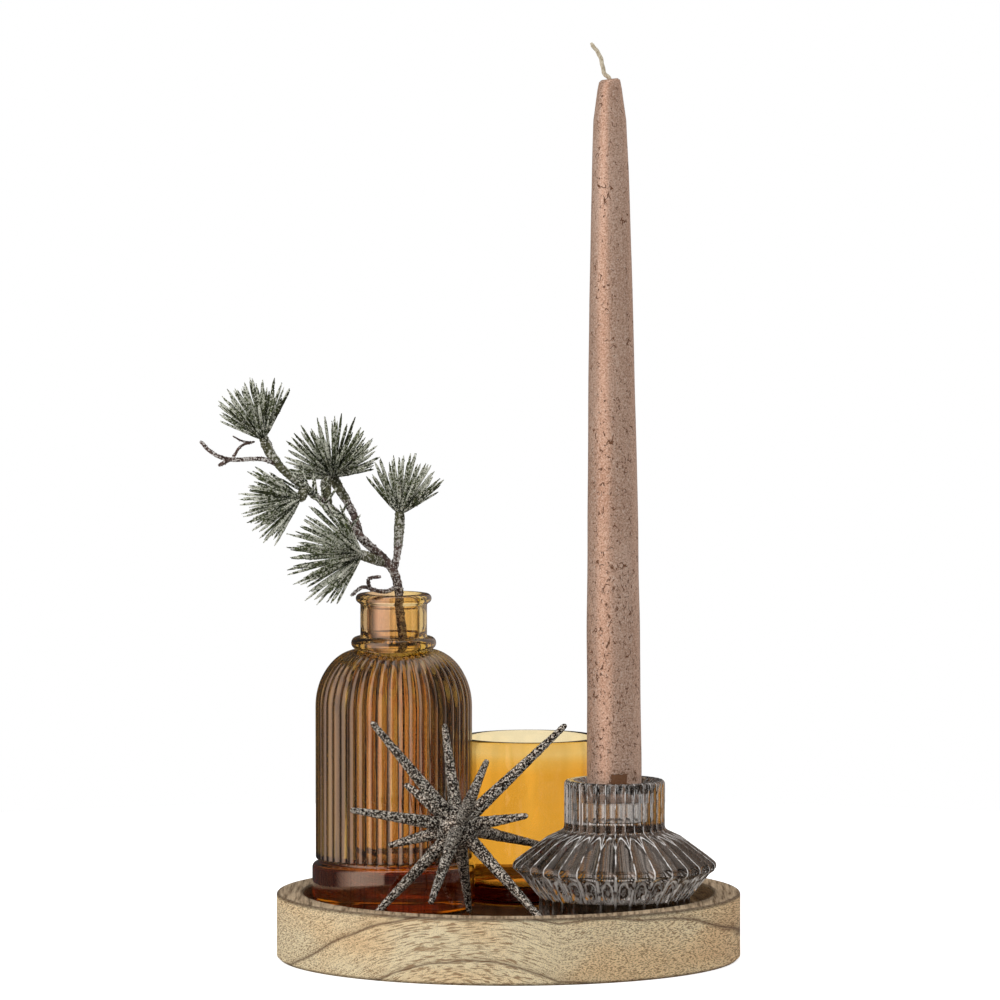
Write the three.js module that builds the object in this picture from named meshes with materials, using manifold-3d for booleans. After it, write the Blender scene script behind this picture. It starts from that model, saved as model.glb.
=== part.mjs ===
// Candle tray: a round wooden tray that carries a fluted bottle with a frosted
// pine branch, a glitter starburst, a cylinder votive glass, and a pressed glass
// holder with a tapered candle. Millimetres, +Z up, +Y to the back. The origin is
// the centre of the tray's underside.

import * as THREE from "three";
import { mergeVertices } from "three/addons/utils/BufferGeometryUtils.js";
import Module from "manifold-3d";

const wasm = await Module();
wasm.setup();

// Clearances
const seatGap = 0.3; // under a piece that stands on another
const fitGap = 0.3; // round a piece that sits in a socket, or is cut by its neighbour
const needleGap = 0.4; // least room between two needles
const needleBottleGap = 2; // from a needle to the bottle
const overlap = 1; // how far a form reaches past the face that it joins or cuts

// Tray
const trayHeight = 27;
const recessDepth = 8.6;
const rimWidth = 11;
const recessClearance = 0.7; // from the outermost vessel to the recess wall
const trayEdgeRound = 1.8;
const trayFootChamfer = 1.2;

// Bottle
const bottleX = -47.2;
const bottleY = 15.6;
const bottleBaseRadius = 33.6;
const bottleBaseHeight = 18.9;
const bottleBaseRound = 2.2;
const bottleBodyRadius = 32.2;
const bottleShoulderHeight = 83;
const bottleShoulderRise = 23.5;
const bottleRibs = 44;
const bottleRibDepth = 0.8;
const bottleRibLift = 1.5; // of the foot of the ribs above the base
const bottleRibFade = 0.6; // height in which the ribs rise out of the plain body
const bottleWall = 3.4;
const bottleFloor = 19.5; // the base is solid glass
const neckFlare = 2; // of the neck's foot, under the bead
const neckFlareDepth = 3;
const beadRadius = 17.5;
const beadHeight = 5.3;
const neckRadius = 13.7;
const neckLength = 13.7;
const neckBoreRadius = 10.9;
const lipRadius = 15.6;
const lipThickness = 4;

// Votive glass
const votiveRadius = 28.9;
const votiveHeight = 67.5;
const votiveWall = 2;
const votiveFloor = 6;
const votiveRound = 0.9;
const votiveTurn = 29.4; // degrees, from the bottle's centre, anticlockwise from +X
const votiveGap = 1.7; // between the bottle's base and the votive glass

// Candle holder
const holderTurn = -21.8; // degrees, from the bottle's centre
const holderGap = 22.2; // between the bottle's base and the holder's disk
const holderFootRadius = 30.7;
const holderFootHeight = 8.9;
const diskRadius = 41.5;
const diskHeight = 21.3; // of the disk's widest edge above the foot
const diskRound = 2.6;
const diskTopHeight = 35.7;
const collarRadius = 20.5;
const holderHeight = 56.4;
const mouthRadius = 16.2;
const mouthDepth = 4.4;
const socketDepth = 9; // from the rim down to the ledge under the candle
const drainRadius = 9.8; // narrower bore under the ledge
const drainDepth = 8;
const holderFlutes = 32;
const holderFluteDepth = 1;
const wellRadius = 20.5; // tealight well in the underside
const wellDepth = 13;
const wellEdge = 2; // slope at the well's ceiling
const holderEdge = 1; // slopes at the foot, the collar's foot, the drain and the well's mouth
const rimEdge = 1.4;

// Candle and wick
const candleRadius = 11.1;
const candleTipRadius = 4.5;
const candleLength = 293.5;
const candleLean = 0.45; // degrees, to the left
const candleFit = 0.4; // between the candle and its socket
const candleEdge = 1;
const candleDimple = 0.4; // round the wick
// The candle's taper: how far up a point is, as a share of the length, and how far
// from the tip's radius to the full radius it is.
const candleTaper = [
  { up: 0.05, width: 1 },
  { up: 0.47, width: 0.83 },
  { up: 0.75, width: 0.6 },
  { up: 0.943, width: 0.33 },
];
const wickRadius = 0.95;
const wickHeight = 14.6;
const wickLean = 7.5; // how far the wick's end hangs over to the left
const wickSeat = 7; // how deep the wick goes into the wax
// The wick's bend: each point's share of its lean and of its height
const wickBend = [
  { over: 0, up: 0 },
  { over: 0.25, up: 0.13 },
  { over: 0.52, up: 0.64 },
  { over: 1, up: 1 },
];

// Starburst
const hubHeight = 38.5; // of the hub's centre above the tray's recess floor
const starBottleGap = 20.2; // from the bottle's base to the hub's centre
const starDiskGap = 22.9; // from the holder's disk to the hub's centre
const hubRadius = 9;
const spikeRootRadius = 2.85;
const spikeTipRadius = 1.2;
const tenonRadius = 1.4;
const tenonLength = 2.6;

// Each spike's place on the clock as seen from the front, anticlockwise from +X, its
// lean towards the back, in degrees, and its share of the longest spike. A leg has no
// share: it reaches down to the recess floor.
const longestSpike = 61;
const spikes = [
  { clock: 128, lean: -19.5, reach: 0.984 },
  { clock: 98, lean: 13.5, reach: 0.697 },
  { clock: 64, lean: 51, reach: 0.689 },
  { clock: 44, lean: -5, reach: 1 },
  { clock: 13, lean: -32, reach: 0.557 },
  { clock: -20, lean: 50.5, reach: 1 },
  { clock: -46, lean: -28.5, leg: true },
  { clock: -83.5, lean: 33.5, leg: true },
  { clock: -111.5, lean: -40.5, reach: 0.656 },
  { clock: -134, lean: -9, leg: true },
  { clock: -163, lean: 16, reach: 0.508 },
  { clock: 170, lean: -10, reach: 0.738 },
  { clock: 143, lean: 20, reach: 0.475 },
  { clock: 68, lean: -60.5, reach: 0.689 },
  { clock: -128, lean: -78, reach: 0.639 },
];

// Branch: points along each twig, from the centre of the top of the bottle's lip
const stemRadius = 2.1;
const stemTipRadius = 1.7;
const shootRadius = 1.4;
const sheathRadius = 1.9; // of a shoot where it goes into its bud
const twigRadius = 0.95;
const wireRadius = 0.6;
const stemFootX = 7.5;
const stemFootY = -2;
const stemBow = 1; // how far the stem bends off its foot, half way up the body
const budRadius = 3.4;
const budBore = 2.2; // how deep a shoot goes into its bud
const needleRadius = 0.5;
const twigTaper = 0.8; // a twig's radius at its end, as a share of that at its start
const stemRoute = [
  [5.5, 1, -49.5],
  [3, 1, -11.5],
  [0, -1, 9],
  [-12, -4, 22],
  [-23.5, -6, 33.5],
  [-33, -7.5, 41.5],
];
const outerStemRoute = [
  [-31.5, -7.3, 40.2],
  [-36, -8, 44],
  [-46.5, -9, 53],
  [-53, -9, 63],
];
const sideShootRoute = [
  [-36.3, -8.1, 44.2],
  [-37, -10.5, 42.4],
  [-37.5, -13.5, 40.2],
];
const upperShootRoute = [
  [-13.5, -4.3, 24],
  [-17, 3, 33.5],
  [-21.5, 8, 41],
  [-24.5, 10, 46],
];
const frontShootRoute = [
  [-3.4, -1.9, 12.4],
  [-6, -7, 13.6],
  [-10, -12.4, 16.2],
];
const rightShootRoute = [
  [0, -1, 9],
  [1.6, 2, 17.5],
  [2.5, 5, 30.8],
];
const leftTwigRoute = [
  [-46.6, -9, 53],
  [-53, -10.5, 55.8],
  [-67.5, -12, 56],
  [-74, -13, 58.7],
  [-78.8, -14, 63.5],
];
const leftStubRoute = [
  [-66.5, -12, 56],
  [-71.5, -12, 53.3],
];
const leftArcRoute = [
  [-65.5, -12, 56.5],
  [-62, -12.5, 61.5],
  [-56.5, -13.5, 63.3],
];
const tendrilRoute = [
  [1.5, -0.5, 2.5],
  [-4, -9, 1.5],
  [-9.5, -13.5, 3.5],
  [-10, -14, 7],
  [-5, -13, 7.9],
];
const tendrilArmRoute = [
  [-7.5, -13, 2.3],
  [-12.5, -15, 3.7],
  [-17.3, -17, 0.3],
];

// Each tuft fans out about its own direction: spread is the half angle of the fan in
// degrees, and reach is its share of the longest needles.
const needleLength = 31;
const needleUneven = 0.1; // how much the needles of one tuft differ in length
const needleFallOff = 0.3; // how much shorter needles at right angles to the fan would be
const needleSeat = 0.75; // where a needle starts, as a share of the bud's radius
const tipTuft = { at: [-53, -9, 63.5], towards: [-0.31, -0.1, 0.95], spread: 47, count: 56, reach: 0.89 };
const sideTuft = {
  at: [-37.5, -13.5, 40.2],
  towards: [-0.97, -0.3, -0.17],
  spread: 48,
  count: 50,
  reach: 0.85,
};
const upperTuft = { at: [-25, 10.5, 47], towards: [-0.14, 0.1, 1], spread: 84, count: 80, reach: 0.9 };
const frontTuft = {
  at: [-12.6, -14.6, 17.1],
  towards: [-0.99, -0.35, 0.04],
  spread: 56,
  count: 66,
  reach: 1,
};
const rightTuft = { at: [2.4, 5.5, 31.8], towards: [0.14, 0, 0.99], spread: 50, count: 56, reach: 0.87 };

// Facets
const traySides = 56;
const glassSides = 44;
const neckSides = 32;
const shoulderSteps = 5;
const pointsPerFlute = 3;
const tubeSides = 7;
const wireSides = 6;
const spikeSides = 7;
const candleSides = 20;
const boreSides = 32;

// Materials
function finish(color, roughness, metalness = 0) {
  return new THREE.MeshStandardMaterial({ color, roughness, metalness });
}

const wood = finish(0xcdb28c, 0.7);
const amberGlass = finish(0x9a5a22, 0.15);
const yellowGlass = finish(0xe0a02c, 0.15);
const smokyGlass = finish(0x6f665f, 0.12);
const glitter = finish(0x8d8a82, 0.5, 0.6);
const bark = finish(0x6f665c, 0.9);
const needleGreen = finish(0x5f6b50, 0.8);
const copperLacquer = finish(0xa58273, 0.4, 0.5);
const cotton = finish(0xd8cdb4, 0.9);

// Geometry helpers
const onAxis = (z) => new THREE.Vector2(0, z);
const at = (r, z) => new THREE.Vector2(r, z);
const radians = THREE.MathUtils.degToRad;

// Keeps only positions, shares equal corners and leaves out faces without area.
function weld(geometry) {
  const bare = geometry.clone();
  bare.deleteAttribute("normal");
  bare.deleteAttribute("uv");
  const merged = mergeVertices(bare, 1e-4);
  const faces = [];
  const index = merged.index.array;
  for (let i = 0; i < index.length; i += 3) {
    const [a, b, c] = [index[i], index[i + 1], index[i + 2]];
    if (a !== b && b !== c && c !== a) faces.push(a, b, c);
  }
  merged.setIndex(faces);
  return merged;
}

function solid(geometry) {
  const welded = weld(geometry);
  return new wasm.Manifold(
    new wasm.Mesh({
      numProp: 3,
      vertProperties: new Float32Array(welded.attributes.position.array),
      triVerts: new Uint32Array(welded.index.array),
    }),
  );
}

function surface(body) {
  const mesh = body.getMesh();
  const geometry = new THREE.BufferGeometry();
  geometry.setAttribute("position", new THREE.BufferAttribute(mesh.vertProperties, 3));
  geometry.setIndex(new THREE.BufferAttribute(mesh.triVerts, 1));
  geometry.computeVertexNormals();
  return geometry;
}

// A turned piece about Z
function turned(profile, sides) {
  const geometry = new THREE.LatheGeometry(profile, sides);
  geometry.rotateX(Math.PI / 2);
  return geometry;
}

// A quarter or half round between two angles, in degrees from +R towards +Z.
function arc(r, z, radius, from, to, steps) {
  const points = [];
  for (let i = 0; i <= steps; i += 1) {
    const angle = radians(from + ((to - from) * i) / steps);
    points.push(at(r + radius * Math.cos(angle), z + radius * Math.sin(angle)));
  }
  return points;
}

// Turned glass with flutes: each profile point carries how deep the flutes are there.
// Ribbed glass has narrow grooves between wide ribs, and scalloped glass the reverse.
function fluted(profile, flutes, ribbed) {
  const sides = flutes * pointsPerFlute;
  const geometry = new THREE.LatheGeometry(
    profile.map((point) => at(point.r, point.z)),
    sides,
  );
  const position = geometry.attributes.position;
  for (let side = 0; side <= sides; side += 1) {
    const onRidge = side % pointsPerFlute === 0;
    const cut = onRidge === ribbed;
    for (let level = 0; level < profile.length; level += 1) {
      const { r, flute } = profile[level];
      if (!cut || !flute) continue;
      const i = side * profile.length + level;
      const scale = (r - flute) / r;
      position.setXYZ(i, position.getX(i) * scale, position.getY(i), position.getZ(i) * scale);
    }
  }
  geometry.rotateX(Math.PI / 2);
  return geometry;
}

// A round bar along a smooth route that narrows evenly from its first point to its last.
function tapered(route, startRadius, endRadius, sides, steps) {
  const curve = new THREE.CatmullRomCurve3(route.map((point) => new THREE.Vector3(...point)));
  const section = new THREE.Shape();
  for (let i = 0; i < sides; i += 1) {
    const angle = (i / sides) * 2 * Math.PI;
    const corner = [Math.cos(angle), Math.sin(angle)];
    if (i === 0) section.moveTo(...corner);
    else section.lineTo(...corner);
  }
  const geometry = new THREE.ExtrudeGeometry(section, { extrudePath: curve, steps, bevelEnabled: false });
  const rings = curve.getSpacedPoints(steps);
  const position = geometry.attributes.position;
  const corner = new THREE.Vector3();
  for (let i = 0; i < position.count; i += 1) {
    corner.fromBufferAttribute(position, i);
    let ring = 0;
    for (let j = 1; j <= steps; j += 1) {
      if (corner.distanceTo(rings[j]) < corner.distanceTo(rings[ring])) ring = j;
    }
    const radius = THREE.MathUtils.lerp(startRadius, endRadius, ring / steps);
    corner.sub(rings[ring]).multiplyScalar(radius).add(rings[ring]);
    position.setXYZ(i, corner.x, corner.y, corner.z);
  }
  return geometry;
}

function piece(name, geometry, material) {
  const mesh = new THREE.Mesh(geometry, material);
  mesh.name = name;
  return mesh;
}

// Layout in plan: the votive glass and the holder stand about the bottle, the hub
// stands in the bay in front of them, and the tray goes round the three vessels.
function beside(start, turn, distance) {
  const step = new THREE.Vector2(distance, 0);
  return step.rotateAround(new THREE.Vector2(), radians(turn)).add(start);
}

// The point at the given distances from two others, on the front side of their line.
function inFrontOf(left, fromLeft, right, fromRight) {
  const across = right.clone().sub(left);
  const span = across.length();
  const along = (fromLeft ** 2 - fromRight ** 2 + span ** 2) / (2 * span);
  const out = Math.sqrt(fromLeft ** 2 - along ** 2);
  const step = new THREE.Vector2(along, -out);
  return step.rotateAround(new THREE.Vector2(), across.angle()).add(left);
}

const bottlePlace = new THREE.Vector2(bottleX, bottleY);
const votivePlace = beside(bottlePlace, votiveTurn, bottleBaseRadius + votiveGap + votiveRadius);
const holderPlace = beside(bottlePlace, holderTurn, bottleBaseRadius + holderGap + diskRadius);
const starPlace = inFrontOf(
  bottlePlace,
  bottleBaseRadius + starBottleGap,
  holderPlace,
  diskRadius + starDiskGap,
);
const recessRadius =
  recessClearance +
  Math.max(
    bottlePlace.length() + bottleBaseRadius,
    votivePlace.length() + votiveRadius,
    holderPlace.length() + holderFootRadius,
  );
const trayRadius = recessRadius + rimWidth;
const recessFloor = trayHeight - recessDepth;
const standing = recessFloor + seatGap;

function tray() {
  const edge = trayEdgeRound;
  const profile = [
    onAxis(0),
    at(trayRadius - trayFootChamfer, 0),
    at(trayRadius, trayFootChamfer),
    ...arc(trayRadius - edge, trayHeight - edge, edge, 0, 90, 3),
    ...arc(recessRadius + edge, trayHeight - edge, edge, 90, 180, 3),
    at(recessRadius, recessFloor + edge / 2),
    at(recessRadius - edge / 2, recessFloor),
    onAxis(recessFloor),
  ];
  return piece("tray", turned(profile, traySides), wood);
}

// Heights on the bottle, from its foot
const beadFoot = bottleShoulderHeight + bottleShoulderRise;
const neckFoot = beadFoot + beadHeight;
const lipFoot = neckFoot + neckLength;
const bottleHeight = lipFoot + lipThickness;
const ribFoot = bottleBaseHeight + bottleRibLift;

// The shoulder is a quarter of an ellipse that runs from the body in to the neck.
function shoulder(bodyRadius, innerRadius, foot, rise, steps) {
  const points = [];
  for (let i = 0; i <= steps; i += 1) {
    const angle = (i / steps) * (Math.PI / 2);
    const r = THREE.MathUtils.lerp(innerRadius, bodyRadius, Math.cos(angle));
    points.push(at(r, foot + rise * Math.sin(angle)));
  }
  return points;
}

function bottle() {
  const edge = bottleBaseRound;
  const lip = lipThickness / 2;
  const base = [
    onAxis(0),
    ...arc(bottleBaseRadius - edge, edge, edge, -90, 0, 2),
    ...arc(bottleBaseRadius - edge, bottleBaseHeight - edge, edge, 0, 90, 2),
    onAxis(bottleBaseHeight),
  ];
  const rise = bottleShoulderRise;
  const dome = shoulder(bottleBodyRadius, neckRadius, bottleShoulderHeight, rise, shoulderSteps);
  const ribs = [
    { r: 0, z: bottleBaseHeight - overlap },
    { r: bottleBodyRadius - bottleRibDepth, z: bottleBaseHeight - overlap },
    { r: bottleBodyRadius - bottleRibDepth, z: ribFoot - bottleRibFade },
    ...[at(bottleBodyRadius, ribFoot), ...dome.slice(0, shoulderSteps)].map((point) => ({
      r: point.x,
      z: point.y,
      flute: bottleRibDepth,
    })),
    { r: 0, z: dome[shoulderSteps - 1].y },
  ];
  const neck = [
    onAxis(beadFoot - neckFlareDepth),
    at(neckRadius, beadFoot - neckFlareDepth),
    at(neckRadius + neckFlare, beadFoot),
    ...arc(beadRadius - beadHeight / 2, beadFoot + beadHeight / 2, beadHeight / 2, -60, 60, 2),
    at(neckRadius, neckFoot),
    at(neckRadius, lipFoot),
    ...arc(lipRadius - lip, lipFoot + lip, lip, -60, 90, 3),
    onAxis(bottleHeight),
  ];
  const innerRadius = bottleBodyRadius - bottleRibDepth - bottleWall;
  const hollow = [
    onAxis(bottleFloor),
    ...arc(innerRadius - bottleWall, bottleFloor + bottleWall, bottleWall, -90, 0, 2),
    ...shoulder(innerRadius, neckBoreRadius, bottleShoulderHeight - bottleWall, rise - bottleWall, 4),
    at(neckBoreRadius, bottleHeight - lip),
    at(neckBoreRadius + lip / 2, bottleHeight + overlap),
    onAxis(bottleHeight + overlap),
  ];
  const body = solid(turned(base, glassSides))
    .add(solid(fluted(ribs, bottleRibs, true)))
    .add(solid(turned(neck, neckSides)))
    .subtract(solid(turned(hollow, neckSides)));
  return piece("bottle", surface(body), amberGlass);
}

function votiveGlass() {
  const inner = votiveRadius - votiveWall;
  const lip = votiveWall / 2;
  const profile = [
    onAxis(0),
    ...arc(votiveRadius - votiveRound, votiveRound, votiveRound, -90, 0, 2),
    ...arc(votiveRadius - lip, votiveHeight - lip, lip, 0, 180, 3),
    ...arc(inner - votiveWall, votiveFloor + votiveWall, votiveWall, 0, -90, 2),
    onAxis(votiveFloor),
  ];
  return piece("votive_glass", turned(profile, glassSides), yellowGlass);
}

function candleHolder() {
  const edge = holderEdge;
  const ring = (r, z, flute = holderFluteDepth) => ({ r, z, flute });
  const round = arc(diskRadius - diskRound, diskHeight, diskRound, -40, 55, 2);
  const outside = [
    ring(0, 0, 0),
    ring(holderFootRadius - edge, 0),
    ring(holderFootRadius, edge),
    ring(holderFootRadius, holderFootHeight),
    ...round.map((point) => ring(point.x, point.y)),
    ring(collarRadius + edge, diskTopHeight),
    ring(collarRadius, diskTopHeight + edge),
    ring(collarRadius, holderHeight - rimEdge),
    ring(collarRadius - rimEdge, holderHeight, 0),
    ring(0, holderHeight, 0),
  ];
  let body = solid(fluted(outside, holderFlutes, false));
  const seat = candleRadius + candleFit;
  const ledge = holderHeight - socketDepth;
  const socket = [
    onAxis(ledge - drainDepth),
    at(drainRadius - edge, ledge - drainDepth),
    at(drainRadius, ledge - drainDepth + edge),
    at(drainRadius, ledge),
    at(seat, ledge),
    at(seat, holderHeight - mouthDepth),
    at(mouthRadius, holderHeight),
    at(mouthRadius + overlap, holderHeight + overlap),
    onAxis(holderHeight + overlap),
  ];
  const well = [
    onAxis(-overlap),
    at(wellRadius + overlap + edge, -overlap),
    at(wellRadius, edge),
    at(wellRadius, wellDepth - wellEdge),
    at(wellRadius - wellEdge, wellDepth),
    onAxis(wellDepth),
  ];
  for (const hollow of [socket, well]) body = body.subtract(solid(turned(hollow, boreSides)));
  return piece("candle_holder", surface(body), smokyGlass);
}

function candleProfile() {
  const shoulderRadius = candleTipRadius - candleEdge;
  const widths = candleTaper.map(({ up, width }) =>
    at(THREE.MathUtils.lerp(candleTipRadius, candleRadius, width), candleLength * up),
  );
  const taper = new THREE.SplineCurve([...widths, at(candleTipRadius, candleLength - candleEdge)]);
  const bore = wickRadius + fitGap;
  return [
    onAxis(0),
    at(candleRadius - candleEdge, 0),
    at(candleRadius, candleEdge),
    ...taper.getPoints(7),
    at(shoulderRadius, candleLength),
    at(bore, candleLength - candleDimple),
    at(bore, candleLength - wickSeat - fitGap),
    onAxis(candleLength - wickSeat - fitGap),
  ];
}

function candle() {
  return piece("candle", turned(candleProfile(), candleSides), copperLacquer);
}

function wick() {
  const route = [
    [0, 0, -wickSeat],
    ...wickBend.map(({ over, up }) => [-wickLean * over, 0, wickHeight * up]),
  ];
  const cord = piece("wick", tapered(route, wickRadius, wickRadius * twigTaper, wireSides, 9), cotton);
  cord.position.z = candleLength;
  return cord;
}

// A spike is turned along +Z from the hub's centre, with a tenon that sits in the hub.
function spikeProfile(length) {
  const shoulderAt = hubRadius + fitGap;
  const tip = spikeTipRadius;
  return [
    onAxis(shoulderAt - tenonLength),
    at(tenonRadius, shoulderAt - tenonLength),
    at(tenonRadius, shoulderAt),
    at(spikeRootRadius, shoulderAt),
    at(tip, length - tip),
    at(tip * Math.SQRT1_2, length - tip * (1 - Math.SQRT1_2)),
    onAxis(length),
  ];
}

function spikeDirection({ clock, lean }) {
  const [turn, back] = [radians(clock), radians(lean)];
  const across = Math.cos(back);
  return new THREE.Vector3(Math.cos(turn) * across, Math.sin(back), Math.sin(turn) * across);
}

function aimed(object, direction) {
  object.quaternion.setFromUnitVectors(new THREE.Vector3(0, 0, 1), direction);
  return object;
}

// A leg's rounded tip ends one seat gap above the recess floor.
function spikeLength(spike) {
  if (!spike.leg) return spike.reach * longestSpike;
  return (hubHeight - seatGap - spikeTipRadius) / -spikeDirection(spike).z + spikeTipRadius;
}

function starburst() {
  const star = new THREE.Group();
  const socketFoot = hubRadius - tenonLength - fitGap;
  const socket = turned(
    [
      onAxis(socketFoot),
      at(tenonRadius + fitGap, socketFoot),
      at(tenonRadius + fitGap, hubRadius + overlap),
      onAxis(hubRadius + overlap),
    ],
    spikeSides - 1,
  );
  let hub = solid(new THREE.SphereGeometry(hubRadius, 16, 10));
  spikes.forEach((spike, i) => {
    const direction = spikeDirection(spike);
    const drilled = aimed(new THREE.Object3D(), direction);
    drilled.updateMatrix();
    hub = hub.subtract(solid(socket.clone().applyMatrix4(drilled.matrix)));
    const number = String(i + 1).padStart(2, "0");
    const geometry = turned(spikeProfile(spikeLength(spike)), spikeSides);
    star.add(aimed(piece(`star_spike_${number}`, geometry, glitter), direction));
  });
  star.add(piece("star_hub", surface(hub), glitter));
  return star;
}

// The stem stands on the bottle's floor. Each shoot is cut off one fit gap from the stem.
const stemPoints = [
  [stemFootX, stemFootY, bottleFloor + fitGap - bottleHeight],
  [stemFootX - stemBow, stemFootY + stemBow, (bottleFloor + bottleShoulderHeight) / 2 - bottleHeight],
  ...stemRoute,
];

function stemSolid(extra) {
  const [before, last] = stemPoints.slice(-2).map((point) => new THREE.Vector3(...point));
  const end = last.clone().add(last.clone().sub(before).setLength(extra));
  const route = [...stemPoints.slice(0, -1), end.toArray()];
  return solid(tapered(route, stemRadius + extra, stemTipRadius + extra, tubeSides, 26));
}

// The needles of a tuft all point away from the centre of its bud, so that none cross.
function needleRays(tuft) {
  const forward = new THREE.Vector3(...tuft.towards).normalize();
  const turn = new THREE.Quaternion().setFromUnitVectors(new THREE.Vector3(0, 0, 1), forward);
  const centre = new THREE.Vector3(...tuft.at);
  const golden = Math.PI * (3 - Math.sqrt(5));
  const cap = 1 - Math.cos(radians(tuft.spread));
  const rays = [];
  for (let i = 0; i < tuft.count; i += 1) {
    const up = 1 - ((i + 0.5) / tuft.count) * cap;
    const out = Math.sqrt(1 - up * up);
    const ray = new THREE.Vector3(out * Math.cos(i * golden), out * Math.sin(i * golden), up);
    const uneven = 1 - needleUneven * (1 + Math.sin(i * golden * 2)) - needleFallOff * (1 - up);
    ray.applyQuaternion(turn);
    const foot = centre.clone().addScaledVector(ray, budRadius * needleSeat);
    const tip = centre.clone().addScaledVector(ray, needleLength * tuft.reach * uneven);
    rays.push({ foot, tip, ray, radius: needleRadius });
  }
  return rays;
}

// The least distance between two straight stretches, each given by its two ends.
function distanceBetween(a, b) {
  const [p, q] = [a.foot, b.foot];
  const u = a.tip.clone().sub(p);
  const v = b.tip.clone().sub(q);
  const w = p.clone().sub(q);
  const [uu, uv, vv, uw, vw] = [u.dot(u), u.dot(v), v.dot(v), u.dot(w), v.dot(w)];
  const clamp = (value) => THREE.MathUtils.clamp(value, 0, 1);
  const denominator = uu * vv - uv * uv;
  let s = denominator > 1e-9 ? clamp((uv * vw - vv * uw) / denominator) : 0;
  const t = clamp((uv * s + vw) / vv);
  s = clamp((uv * t - uw) / uu);
  return w.addScaledVector(u, s).addScaledVector(v, -t).length();
}

function stretches(route, radius) {
  const curve = new THREE.CatmullRomCurve3(route.map((point) => new THREE.Vector3(...point)));
  const points = curve.getPoints(12);
  return points.slice(1).map((tip, i) => ({ foot: points[i], tip, radius }));
}

function clearOfBottle(needle) {
  const steps = 8;
  for (let i = 0; i <= steps; i += 1) {
    const point = needle.foot.clone().lerp(needle.tip, i / steps);
    const fromAxis = Math.hypot(point.x, point.y) - needleBottleGap;
    if (point.z < needleBottleGap && fromAxis < lipRadius) return false;
    if (point.z < beadFoot - bottleHeight && fromAxis < bottleBodyRadius) return false;
  }
  return true;
}

// A needle is a three sided spine that narrows to a point.
function needleGeometry({ foot, tip, ray }) {
  const length = tip.distanceTo(foot);
  const spine = new THREE.ConeGeometry(needleRadius, length, 3);
  spine.rotateX(Math.PI / 2);
  spine.translate(0, 0, length / 2);
  const place = aimed(new THREE.Object3D(), ray);
  place.position.copy(foot);
  place.updateMatrix();
  return spine.applyMatrix4(place.matrix);
}

function bud(tuft) {
  const ball = new THREE.SphereGeometry(budRadius, 10, 6);
  return solid(ball.translate(...tuft.at));
}

// Grows the needles of a tuft that stay clear of the twigs and of every needle so far.
function grow(tuft, taken) {
  const own = [];
  for (const needle of needleRays(tuft)) {
    const blocked = taken.some(
      (other) => distanceBetween(needle, other) < needle.radius + other.radius + needleGap,
    );
    if (!blocked && clearOfBottle(needle)) own.push(needle);
  }
  taken.push(...own);
  return own.map((needle) => solid(needleGeometry(needle)));
}

// Cuts the bore that a twig or shoot sits in.
function cutBore(body, route, radius) {
  return body.subtract(solid(tapered(route, radius + fitGap, radius + fitGap, tubeSides, 6)));
}

// A shoot's route, ended inside the bud that it carries.
function intoBud(route, tuft) {
  const end = new THREE.Vector3(...tuft.at);
  const last = new THREE.Vector3(...route.at(-1));
  const inward = end.clone().sub(last).normalize();
  const stop = end.addScaledVector(inward, budBore - budRadius);
  return [...route.slice(0, -1), stop.toArray()];
}

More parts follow.
